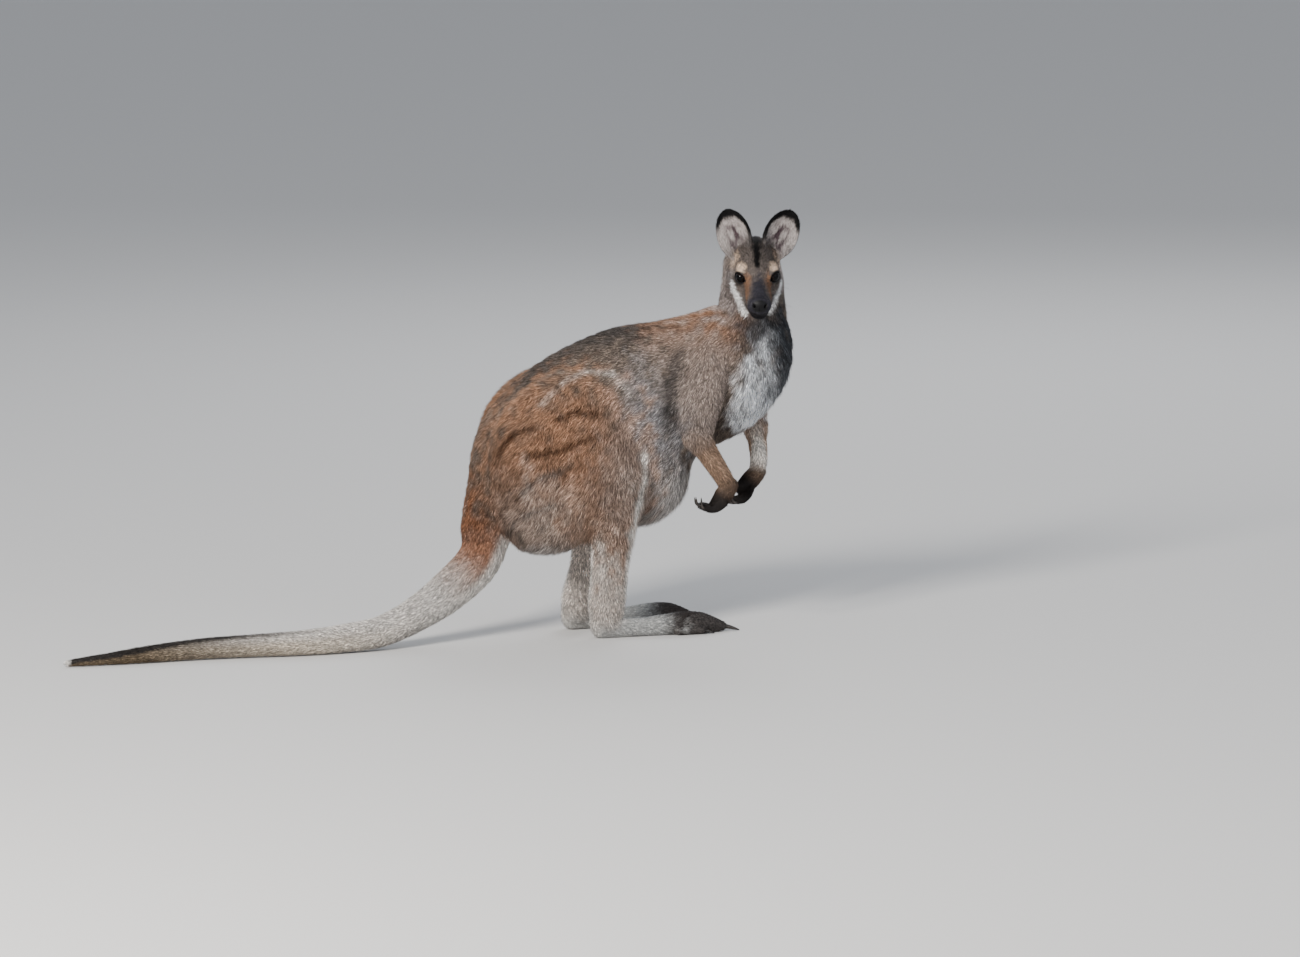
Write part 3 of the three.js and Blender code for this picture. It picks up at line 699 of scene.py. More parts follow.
@dataclass
class EyeOpening(Field):
    """The almond between an eye's lids."""

    side: str
    half_width: float = 9.8
    half_height: float = 7.8
    floor: float = 3.5  # how far out from the eye's centre the cut starts
    lower: float = 0.82  # the lower lid's height as a share of the upper one's
    reach: float = 16.0
    near: Pair = (-4.0, 20.0)  # how far out points may be and still count as close to the lids
    gaze: Triple = (0.76, 0.64, 0.1)
    slant: Triple = (0.64, -0.76, -0.14)

    def __post_init__(self) -> None:
        """Places the opening over its eye."""
        sign = SIDES[self.side]
        self.centre = in_head(EYE_PLACE[0], sign * EYE_PLACE[1], EYE_PLACE[2])
        self.out = unit(HEAD_AXES.vector((self.gaze[0], sign * self.gaze[1], self.gaze[2])))
        inner = HEAD_AXES.vector((self.slant[0], sign * self.slant[1], self.slant[2]))
        self.inner = unit(inner - inner @ self.out * self.out)
        up = HEAD_AXES.up
        self.over = unit(up - up @ self.out * self.out - up @ self.inner * self.inner)
        self.low, self.high = self.centre - self.reach, self.centre + self.reach

    def seen(self, points: Array) -> tuple[Array, Array]:
        """How far points are outside the almond, seen along the gaze, and how far out they are.

        Args:
            points: places in the body's millimetres.

        Returns:
            Both in millimetres, the first negative within the almond.
        """
        local = (points - self.centre) @ np.stack((self.inner, self.over, self.out), axis=1)
        x = local[:, 0] / self.half_width
        brim = np.where(local[:, 1] > 0, self.half_height, self.half_height * self.lower)
        lid = np.abs(local[:, 1]) - brim * np.sqrt(np.maximum(1.0 - np.abs(x) ** 2.2, 0.0))
        return np.maximum(lid, (np.abs(x) - 1.0) * self.half_width), local[:, 2]

    def away(self, points: Array, start: float, end: float) -> Array:
        """0 at the lids' rim, rising to 1 between two distances from it, and 1 far off."""
        brim, out = self.seen(points)
        return np.where((out > self.near[0]) & (out < self.near[1]), eased(brim, start, end), 1.0)

    def distance(self, points: Array) -> Array:
        """The distance outside the almond's hollow."""
        brim, out = self.seen(points)
        return np.maximum(brim, self.floor - out)


def right_of_head(points: Array) -> Array:
    """Whether each point is on the right of the head's middle."""
    return (points - HEAD_PLACE) @ HEAD_AXES.right > 0


def by_right_foot(points: Array) -> Array:
    """Whether each point is nearer the right foot."""
    right, left = [np.linalg.norm(points - on_foot(side, 90, 0, 10), axis=1) for side in SIDES]
    return right < left


def by_right_one(pair: dict[str, Field], points: Array) -> Array:
    """Whether each point is nearer the right one of a pair."""
    return pair["right"].distance(points) <= pair["left"].distance(points)


def drawn_to(field: Field, start: Array, end: Array) -> Array:
    """The place on a straight way where a field's surface lies, found by halving.

    Args:
        field: the field whose surface is looked for.
        start: a place inside it.
        end: a place outside it.

    Returns:
        The place on the surface.
    """
    low, high = 0.0, 1.0
    for _ in range(HALVINGS):
        middle = (low + high) / 2
        inside = field.distance((start + (end - start) * middle)[None])[0] < 0
        low, high = (middle, high) if inside else (low, middle)
    return start + (end - start) * low


# ---- the body's fields
class Region(IntEnum):
    """Parts of the body whose coats differ."""

    HEAD = 0
    EAR = 1
    TRUNK = 2
    TAIL = 3
    THIGH = 4
    SHANK = 5
    FOOT = 6
    UPPER_ARM = 7
    FOREARM = 8
    HAND = 9


@dataclass(frozen=True)
class Fillets:
    """How softly the parts of the body run together, in mm."""

    belly: float = 34
    haunch: float = 50
    toes: float = 3.5
    fingers: float = 2.2
    brows: float = 12
    jaw: float = 9
    nose: float = 6
    lids: float = 5
    cuts: float = 0.9
    neck: float = 20
    tail: float = 16
    knees: float = 26
    hips: float = 24
    elbows: float = 8
    shoulders: float = 5
    ankles: float = 7
    wrists: float = 3
    ears: float = 7
    apart: float = 1


FILLETS = Fillets()


@dataclass
class Anatomy:
    """Every part of the body as the skin has it."""

    lid: float = 1.3  # how thick a lid is over the eye
    nostril: Rows = ((77, 5, -4, 2.6, 1.9), (80.5, 7.2, -4.2, 2.7, 2.0), (79, 11, -1.6, 1.5, 1.5))
    cleft: Rows = ((84.5, 0, -4, 0.8, 0.7), (82, 0, -12, 0.9, 0.8), (76, 0, -18, 0.9, 0.9))
    lip: float = 1.1
    toe_heights: Rows = ((0.0, 1.05), (0.5, 1.0), (1.0, 0.92))  # share of a toe's way, height in its radii
    lip_heights: Rows = ((74, -17.5), (66, -19), (54, -20.5), (40, -21.5), (26, -22), (14, -21))

    def __post_init__(self) -> None:
        """Builds the parts and the one skin that joins them."""
        self.spine = Tube(SPINE, SPINE_COAT)
        self.tail = Tube(TAIL, TAIL_COAT)
        self.ears = {side: EarLeaf(side) for side in SIDES}
        self.openings = {side: EyeOpening(side) for side in SIDES}
        self.shanks = {side: Tube(SHANKS[side], SHANK_COAT) for side in SIDES}
        self.thighs = {side: self._thigh(side) for side in SIDES}
        self.feet = {side: self._foot(side) for side in SIDES}
        self.upper_arms = {side: Tube(UPPER_ARMS[side], UPPER_ARM_COAT) for side in SIDES}
        self.forearms = {side: Tube(FOREARMS[side], FOREARM_COAT) for side in SIDES}
        self.hands = {side: self._hand(side) for side in SIDES}
        self.skull = self._skull()
        self.lids = [Ellipsoid(self.openings[side].centre, (EYE_RADIUS + self.lid,) * 3) for side in SIDES]
        self.head = self._face()
        self.trunk = Joined(FILLETS.belly, self.spine, Ellipsoid(BELLY[0], np.subtract(BELLY[1], BELLY_COAT)))
        self.skin = self._whole()
        pairs = {
            Region.EAR: self.ears,
            Region.THIGH: self.thighs,
            Region.SHANK: self.shanks,
            Region.FOOT: self.feet,
            Region.UPPER_ARM: self.upper_arms,
            Region.FOREARM: self.forearms,
            Region.HAND: self.hands,
        }
        self.regions = {Region.HEAD: self.head, Region.TRUNK: self.trunk, Region.TAIL: self.tail}
        for region, pair in pairs.items():
            self.regions[region] = Joined(FILLETS.apart, *pair.values())

    def _thigh(self, side: str) -> Field:
        """The thigh and haunch of one side.

        Args:
            side: "right" or "left".

        Returns:
            Their field.
        """
        balls = []
        for at, radii in (THIGH, HAUNCH):
            balls.append(Ellipsoid(in_pelvis(SIDES[side], at), np.subtract(radii, THIGH_COAT), PELVIS_AXES))
        return Joined(FILLETS.haunch, *balls)

    def foot_rows(self, side: str) -> list[list[float]]:
        """The stations of a foot's sole and back."""
        return [[*on_foot(side, along, 0, up), *size, HEELS[side][1]] for along, up, *size in FOOT]

    def _foot(self, side: str) -> Field:
        """One foot with its toes.

        Args:
            side: which foot.

        Returns:
            The foot's field.
        """
        heading = HEELS[side][1]
        toes = []
        for toe in TOES:
            rows = []
            for t, rise in self.toe_heights:
                along = toe.start + (toe.end - toe.start) * t
                at = on_foot(side, along, toe.out * (1 + 0.12 * t), toe.radius * rise)
                rows.append([*at, toe.radius * (1.1 - 0.22 * t), toe.radius * (1 - 0.15 * t), heading])
            toes.append(Tube(rows, TOE_COAT))
        return Joined(FILLETS.toes, Tube(self.foot_rows(side), FOOT_COAT), *toes)

    def hand_place(self, side: str, down: float, along: float, across: float) -> Array:
        """A place on a hand: down from the wrist, along the curl and across the palm.

        Args:
            side: "right" or "left".
            down: how far down, in mm.
            along: how far along.
            across: how far across.

        Returns:
            The place in the body's millimetres.
        """
        pose = HAND_POSES[side]
        wrist = np.asarray(FOREARMS[side][-1][:3], float)
        reach, curl = np.asarray(pose.reach), np.asarray(pose.curl)
        return wrist + reach * down + curl * along + np.cross(curl, reach) * across

    def finger_rows(self, side: str, finger: str, stations: Rows) -> list[list[float]]:
        """A finger's stations, turned open about the knuckle.

        Args:
            side: which hand.
            finger: the finger's name.
            stations: its rows down, along, depth, width and spread.

        Returns:
            Stations of a tube.
        """
        place, share = FINGERS[finger]
        angle = math.radians(HAND_POSES[side].opening)
        c, s = math.cos(angle), math.sin(angle)
        rows = []
        for down, along, depth, width, spread in stations:
            d, a = down - KNUCKLE[0], (along - KNUCKLE[1]) * share
            at = self.hand_place(side, KNUCKLE[0] + c * d + s * a, KNUCKLE[1] + c * a - s * d, place * spread)
            rows.append([*at, depth, width, FOREARMS[side][-1][5]])
        return rows

    def palm_rows(self, side: str) -> list[list[float]]:
        """The stations of a palm."""
        heading = FOREARMS[side][-1][5]
        return [[*self.hand_place(side, down, along, 0), *size, heading] for down, along, *size in PALM]

    def _hand(self, side: str) -> Field:
        """One hand with its fingers."""
        fingers = [Tube(self.finger_rows(side, finger, FINGER_BONES), FINGER_COAT) for finger in FINGERS]
        return Joined(FILLETS.fingers, Tube(self.palm_rows(side), PALM_COAT), *fingers)

    def _skull(self) -> Field:
        """The head without its lids, nostrils and lips.

        Returns:
            The skull's field.
        """
        upper = [self._ball(*CRANIUM), self._ball(*FOREHEAD)]
        upper.append(Tube([self._midline(*row) for row in MUZZLE], MUZZLE_COAT))
        for sign in SIDES.values():
            for (ahead, out, up), radii, coat in (CHEEK, BROW):
                upper.append(self._ball((ahead, sign * out, up), radii, coat))
        jaw = Tube([self._midline(*row) for row in JAW], JAW_COAT)
        jawed = Joined(FILLETS.jaw, Joined(FILLETS.brows, *upper), jaw)
        return Joined(FILLETS.nose, jawed, self._ball(*NOSE_PAD))

    @staticmethod
    def _ball(at: Triple, radii: Triple, coat: float) -> Ellipsoid:
        """An ellipsoid of the head, less its coat."""
        return Ellipsoid(in_head(*at), np.subtract(radii, coat), HEAD_AXES)

    @staticmethod
    def _midline(ahead: float, up: float, depth: float, width: float) -> list[float]:
        """A station on the head's midline."""
        return [*in_head(ahead, 0, up), depth, width, HEAD_HEADING]

    def lip_rows(self, side: str) -> list[list[float]]:
        """The mouth's line on one side, drawn out to the surface of the muzzle.

        Args:
            side: which side of the mouth.

        Returns:
            Stations of a thin tube.
        """
        rows = []
        for ahead, up in self.lip_heights:
            start = in_head(ahead - 6, 0, up)
            spread = 60 if ahead < 60 else 60 * (78 - ahead) / 18
            end = in_head(ahead + (20 if ahead > 60 else 0), SIDES[side] * spread, up)
            rows.append([*drawn_to(self.skull, start, end), self.lip, self.lip, 0.0])
        return rows

    @staticmethod
    def _groove(rows: Rows, sign: int) -> Tube:
        """A groove of the nose through stations ahead, out and up with their depth and width."""
        return Tube([[*in_head(ahead, sign * out, up), *size, 0.0] for ahead, out, up, *size in rows])

    def _face(self) -> Field:
        """The head with its lids, nostrils, lips and the cleft under the nose.

        Returns:
            Its field.
        """
        grooves = [Tube(self.lip_rows(side)) for side in SIDES]
        grooves += [self._groove(self.nostril, sign) for sign in SIDES.values()]
        grooves.append(self._groove(self.cleft, 1))
        lidded = Joined(FILLETS.lids, self.skull, *self.lids)
        return Carved(lidded, FILLETS.cuts, *self.openings.values(), *grooves)

    def _whole(self) -> Field:
        """The one skin.

        Returns:
            The field whose surface is the skin.
        """
        core = Joined(FILLETS.tail, Joined(FILLETS.neck, self.trunk, self.skull), self.tail)
        legs = [Joined(FILLETS.knees, self.thighs[side], self.shanks[side]) for side in SIDES]
        arms = [Joined(FILLETS.elbows, self.upper_arms[side], self.forearms[side]) for side in SIDES]
        body = Joined(FILLETS.shoulders, Joined(FILLETS.hips, core, *legs), *arms)
        body = Joined(FILLETS.ankles, body, *self.feet.values())
        body = Joined(FILLETS.wrists, body, *self.hands.values())
        body = Joined(FILLETS.lids, Joined(FILLETS.ears, body, *self.ears.values()), *self.lids)
        return Floored(Carved(body, FILLETS.cuts, *self.head.tools), FLOOR_CLEARANCE)


# ---- meshes
def in_frame(points: Array) -> Array:
    """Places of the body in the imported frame, in metres."""
    return (points - ORIGIN) * MM


def new_mesh(name: str, points: Array, faces: Sequence[Array]) -> Mesh:
    """A mesh from arrays.

    Args:
        name: the mesh's name.
        points: its places in the body's millimetres.
        faces: arrays of corner numbers, one for each count of corners.

    Returns:
        The new mesh, smooth.
    """
    mesh = bpy.data.meshes.new(name)
    mesh.vertices.add(len(points))
    mesh.vertices.foreach_set("co", in_frame(points).astype(np.float32).ravel())
    totals = np.concatenate([np.full(len(part), part.shape[1], np.int32) for part in faces])
    corners = np.concatenate([part.ravel() for part in faces]).astype(np.int32)
    mesh.loops.add(len(corners))
    mesh.loops.foreach_set("vertex_index", corners)
    mesh.polygons.add(len(totals))
    mesh.polygons.foreach_set("loop_start", np.concatenate(([0], np.cumsum(totals)[:-1])).astype(np.int32))
    mesh.polygons.foreach_set("loop_total", totals)
    mesh.polygons.foreach_set("use_smooth", np.ones(len(totals), bool))
    mesh.update(calc_edges=True)
    return mesh


def store(mesh: Mesh, name: str, values: Array) -> None:
    """Keeps one value or one colour for each of a mesh's vertices.

    Args:
        mesh: the mesh to add to.
        name: the name that finishes read it by.
        values: one number or three for each vertex.
    """
    if values.ndim == 1:
        layer = mesh.attributes.new(name, "FLOAT", "POINT")
        layer.data.foreach_set("value", values.astype(np.float32))
        return
    layer = mesh.attributes.new(name, "FLOAT_COLOR", "POINT")
    padded = np.ones((len(values), 4), np.float32)
    padded[:, :3] = values
    layer.data.foreach_set("color", padded.ravel())


def new_piece(name: str, mesh: Mesh, material: Material) -> Object:
    """An object at the origin that rides on the body.

    Args:
        name: the piece's name.
        mesh: its finished mesh.
        material: its finish.

    Returns:
        The new object.
    """
    mesh.materials.append(material)
    piece = bpy.data.objects.new(name, mesh)
    bpy.context.scene.collection.objects.link(piece)
    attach(piece, BODY)
    LOG.info("%s: %d faces", name, len(mesh.polygons))
    return piece


@dataclass(frozen=True)
class Detail:
    """A ball in which the skin's cells are small: level 0 is the finest, and each one more doubles them."""

    at: Array
    radius: float
    level: int


@dataclass
class Contour:
    """A field's surface by dual contouring, on blocks whose cell size follows their place."""

    field: Field
    details: Sequence[Detail]  # where the cells are small
    low: Array  # the least and the greatest corner of the box to search
    high: Array
    cell: float = 1.25
    block: int = 8
    coarsest: int = 2
    absent: int = -1
    near: float = 1.45  # blocks this many sizes from the surface are left out
    probe: float = 0.25  # how far apart the field is measured for its slope, in mm
    rounds: int = 3
    least_slope: float = 0.25

    def __post_init__(self) -> None:
        """Chooses the blocks that the surface may cross and their cell sizes."""
        self.step = self.cell * self.block
        self.count = np.ceil((self.high - self.low) / self.step).astype(int)
        index = self._grid(*[np.arange(n) for n in self.count])
        centres = self.low + (index + 0.5) * self.step
        near = np.abs(sampled(self.field, centres[:, None])[:, 0]) < self.near * self.step
        levels = np.full(len(index), self.absent)
        levels[near] = self.coarsest
        for detail in self.details:
            inside = near & (np.linalg.norm(centres - detail.at, axis=1) < detail.radius)
            levels[inside] = np.minimum(levels[inside], detail.level)
        self.levels = levels.reshape(self.count)

    @staticmethod
    def _grid(*ticks: Array) -> Array:
        """Every place of a lattice with these ticks."""
        return np.stack(np.meshgrid(*ticks, indexing="ij"), axis=-1).reshape(-1, 3)

    def _crossings(self, level: int) -> list[tuple[Array, int, Array, Array]]:
        """The lattice edges of one level that cross the surface.

        Args:
            level: the level of the blocks to look through.

        Returns:
            For each axis, the edges' starts, the axis, whether they start inside and where they cross.
        """
        step, cells = 1 << level, self.block >> level
        blocks = np.argwhere(self.levels == level)
        ticks = np.arange(cells + 1) * step
        lattice = blocks[:, None] * self.block + self._grid(ticks, ticks, ticks)
        values = sampled(self.field, self.low + lattice * self.cell)
        values = values.reshape((-1,) + (cells + 1,) * 3)
        found = []
        for axis in range(3):
            near = np.take(values, np.arange(cells), axis=axis + 1)
            far = np.take(values, np.arange(1, cells + 1), axis=axis + 1)
            which = np.nonzero((near < 0) != (far < 0))
            start = blocks[which[0]] * self.block + np.stack(which[1:], axis=1) * step
            share = near[which] / (near[which] - far[which])
            place = start.astype(float)
            place[:, axis] += share * step
            _, first = np.unique(self._key(start), return_index=True)
            found.append((start[first], axis, near[which][first] < 0, self.low + place[first] * self.cell))
        return found

    def _key(self, lattice: Array) -> Array:
        """One number for each lattice place."""
        size = (self.count + 1) * self.block
        return (lattice[..., 0] * size[1] + lattice[..., 1]) * size[2] + lattice[..., 2]

    def _rings(self, level: int) -> list[tuple[Array, Array]]:
        """For each smallest edge that crosses the surface, the four cells about it and its crossing.

        Args:
            level: the level of the edges.

        Returns:
            For each axis, the cells' keys and the crossings.
        """
        rings = []
        turns = ((0, 0), (-1, 0), (-1, -1), (0, -1))
        for start, axis, inside, place in self._crossings(level):
            cells = np.repeat(start[:, None], 4, axis=1)
            for i, (u, v) in enumerate(turns):
                cells[:, i, (axis + 1) % 3] += u << level
                cells[:, i, (axis + 2) % 3] += v << level
            home = self.levels[tuple(np.moveaxis(cells // self.block, -1, 0))]
            smallest = np.all(home >= level, axis=1)
            cells, home = cells[smallest], home[smallest, :, None]
            keys = self._key((cells >> home) << home)
            keys[~inside[smallest]] = keys[~inside[smallest], ::-1]
            rings.append((keys, place[smallest]))
        return rings

    def _settled(self, points: Array, reach: float) -> tuple[Array, Array]:
        """Points brought down the field's slope to its zero, and the slope there.

        Args:
            points: the places to move.
            reach: how far they may go.

        Returns:
            The moved points and the outward directions.
        """
        probes = np.vstack((np.zeros(3), np.eye(3) * self.probe))
        moved = points
        for _ in range(self.rounds):
            values = sampled(self.field, moved[:, None] + probes)
            slope = (values[:, 1:] - values[:, :1]) / self.probe
            steep = np.maximum(np.sum(slope * slope, axis=1, keepdims=True), self.least_slope)
            moved = moved - slope * values[:, :1] / steep
            moved = np.clip(moved, points - reach, points + reach)
        return moved, units(slope)

    def surface(self) -> tuple[Array, Array, Array, Array]:
        """The surface as a mesh.

        Returns:
            Its points, their outward directions, its quads and its triangles.
        """
        rings = [ring for level in range(self.coarsest + 1) for ring in self._rings(level)]
        keys = np.concatenate([ring[0] for ring in rings])
        places = np.concatenate([ring[1] for ring in rings])
        _, faces = np.unique(keys, return_inverse=True)
        faces = faces.reshape(keys.shape)
        share = np.bincount(faces.ravel())
        points = [np.bincount(faces.ravel(), weights=np.repeat(places[:, i], 4)) / share for i in range(3)]
        points, slopes = self._settled(np.stack(points, axis=1), self.cell)
        same = faces == np.roll(faces, -1, axis=1)
        quads = faces[same.sum(axis=1) == 0]
        narrow = same.sum(axis=1) == 1
        triangles = faces[narrow][~same[narrow]].reshape(-1, 3)
        return points, slopes, quads, triangles


# ---- colours and markings
def colour(code: str) -> Triple:
    """A linear colour from a six-figure code.

    Args:
        code: two hexadecimal figures each for red, green and blue.

    Returns:
        Red, green and blue, from 0 to 1.
    """
    parts = [int(code[i : i + 2], 16) / 255 for i in (0, 2, 4)]
    red, green, blue = [p / 12.92 if p <= 0.04045 else ((p + 0.055) / 1.055) ** 2.4 for p in parts]
    return red, green, blue


def laid(tint: Array, *layers: tuple[Triple, Array]) -> Array:
    """A tint with layers of paint over it, each by its amount at each point.

    Args:
        tint: the colour at each point.
        layers: each layer's paint and amounts, from 0 to 1.

    Returns:
        The new colours.
    """
    for paint, amount in layers:
        tint = tint + (paint - tint) * amount[:, None]
    return tint


@dataclass(frozen=True)
class Palette:
    """The animal's colours."""

    grizzled: Triple = colour("6a5f57")
    back: Triple = colour("3a3736")
    nape: Triple = colour("835c41")
    shoulder: Triple = colour("978981")
    rufous: Triple = colour("a27b61")
    tail_root: Triple = colour("85573b")
    # painted shade in the creases of the thigh's coat
    dark_rufous: Triple = colour("3a2315")
    flank: Triple = colour("8f9095")
    belly: Triple = colour("b4b0ae")
    bib: Triple = colour("e6e9ee")
    # the throat's darker fur, darkened further as painted shade under the jaw and painted shadow down the
    # chest's far side
    throat: Triple = colour("3b3e43")
    pale: Triple = colour("dedad5")
    shank: Triple = colour("d0c6be")
    foot: Triple = colour("bfbebb")
    toes: Triple = colour("3a3331")
    arm: Triple = colour("a78a74")
    paw: Triple = colour("1d1918")
    tail: Triple = colour("b2aeaa")
    tail_side: Triple = colour("a69b8b")
    tail_end: Triple = colour("574b3c")
    tail_tip: Triple = colour("201e1e")
    face: Triple = colour("645b56")
    stripe: Triple = colour("060506")
    brow: Triple = colour("dcc1a9")
    cheek: Triple = colour("f2f1f0")
    ginger: Triple = colour("7e5e48")
    muzzle: Triple = colour("35333a")
    nose: Triple = colour("0c0b0d")
    ear_rim: Triple = colour("060506")
    ear_back: Triple = colour("4a4140")
    ear_hollow: Triple = colour("aaa29f")
    # bare ear skin, laid as painted shade deep in the ear's hollow
    ear_skin: Triple = colour("4a3b40")
    mantle: Triple = colour("988f8c")


PALETTE = Palette()


class Mark:
    """A soft-edged mark of colour."""

    colour: Triple
    edge: float
    strength: float

    def reach(self, points: Array) -> Array:
        """How far out each point is, 1 in the middle of the mark's edge."""
        raise NotImplementedError

    def mask(self, points: Array, wobble: Array) -> Array:
        """How much of the colour each point takes."""
        k = self.reach(points) + wobble * self.edge * 0.5
        return self.strength * (1.0 - eased(k, 1.0 - self.edge, 1.0 + self.edge))


@dataclass(frozen=True)
class Blot(Mark):
    """A soft-edged ellipsoid of colour."""

    colour: Triple
    at: Sequence[float]
    radii: Triple
    edge: float
    strength: float
    axes: Axes = LEVEL

    def reach(self, points: Array) -> Array:
        """How many radii from the middle each point is."""
        return np.linalg.norm(self.axes.local(points, self.at) / np.asarray(self.radii), axis=1)


@dataclass(frozen=True)
class Streak(Mark):
    """A soft-edged line of colour from one place to another."""

    colour: Triple
    start: Array
    end: Array
    radius: float
    edge: float
    strength: float

    def reach(self, points: Array) -> Array:
        """How many radii from the line each point is.

        Args:
            points: places in the body's millimetres.

        Returns:
            Less than 1 inside the line.
        """
        way = self.end - self.start
        share = np.clip((points - self.start) @ way / (way @ way), 0.0, 1.0)
        return np.linalg.norm(points - self.start - share[:, None] * way, axis=1) / self.radius


class Waves:
    """Smooth noise from a few plane waves, the same in every run."""

    def __init__(self, seed: int, wavelength: float, channels: int = 1, count: int = 12) -> None:
        """Draws the waves' directions, lengths and phases.

        Args:
            seed: of the random draws.
            wavelength: about how long the waves are, in mm.
            channels: how many sums of waves there are.
            count: how many waves are in each.
        """
        random = np.random.default_rng(seed)
        ways = units(random.normal(size=(channels, count, 3)))
        self.frequency = ways * random.uniform(0.6, 1.7, (channels, count, 1)) * 2 * math.pi / wavelength
        self.phase = random.uniform(0, 2 * math.pi, (channels, count))

    def at(self, points: Array) -> Array:
        """The noise at points, mostly between -1 and 1, as (points, channels)."""
        turns = np.einsum("pj,cwj->pcw", points, self.frequency) + self.phase
        return np.sin(turns).sum(axis=2) / math.sqrt(self.phase.shape[1])


def on_head(paint: Triple, at: Triple, radii: Triple, edge: float, strength: float) -> list[Blot]:
    """A mark of the head, on either side of it where it is off the middle.

    Args:
        paint: its colour.
        at: its place, in the head's own axes.
        radii: its size along them.
        edge: how soft its edge is, as a share of the radii.
        strength: its amount in the middle.

    Returns:
        One mark or a pair.
    """
    ahead, out, up = at
    signs = SIDES.values() if out else (1,)
    return [Blot(paint, in_head(ahead, sign * out, up), radii, edge, strength, HEAD_AXES) for sign in signs]


def on_thigh(sign: int, paint: Triple, at: Triple, radii: Triple, edge: float, strength: float) -> Blot:
    """A mark of one thigh."""
    return Blot(paint, in_pelvis(sign, at), radii, edge, strength, PELVIS_AXES)


def line(paint: Triple, places: Sequence[Array], radius: float, edge: float, strength: float) -> list[Streak]:
    """A bent line of colour through several places."""
    return [Streak(paint, *ends, radius, edge, strength) for ends in zip(places, places[1:])]


def head_line(paint: Triple, places: Rows, radius: float, edge: float, strength: float) -> list[Streak]:
    """A bent line on the head, on either side of it where it starts off the middle.

    Args:
        paint: its colour.
        places: its corners, in the head's own axes.
        radius: half its width, in mm.
        edge: how soft its edge is, as a share of the radius.
        strength: its amount in the middle.

    Returns:
        Its straight lengths.
    """
    streaks = []
    for sign in SIDES.values() if places[0][1] else (1,):
        bends = [in_head(ahead, sign * out, up) for ahead, out, up in places]
        streaks += line(paint, bends, radius, edge, strength)
    return streaks


# The painted shade along the crease between arm and chest, from the middle of the body.
ARM_CREASE_SHADE = ((132, 55, 430), (117, 68, 388), (112, 70, 345), (112, 66, 310))
# The light along the thigh's top, the pale line down its front and the painted shade in its coat's creases,
# in the pelvis frame.
THIGH_ARC = ((-30, 91, 365), (6, 76, 392), (44, 68, 405), (79, 79, 403), (102, 91, 374))
THIGH_FRONT = ((120, 88, 280), (117, 90, 250), (109, 88, 212), (99, 83, 168))
THIGH_CREASE_SHADE_LINES = (
    ((-52, 102, 293), (-11, 109, 298), (20, 109, 309), (48, 106, 319)),
    ((-70, 88, 226), (-50, 100, 251), (-17, 108, 268), (10, 110, 273)),
    ((-9, 102, 345), (22, 101, 353), (52, 101, 349)),
    ((-97, 80, 295), (-77, 90, 320), (-45, 98, 334)),
    ((-80, 71, 181), (-53, 92, 207), (-11, 102, 219)),
)


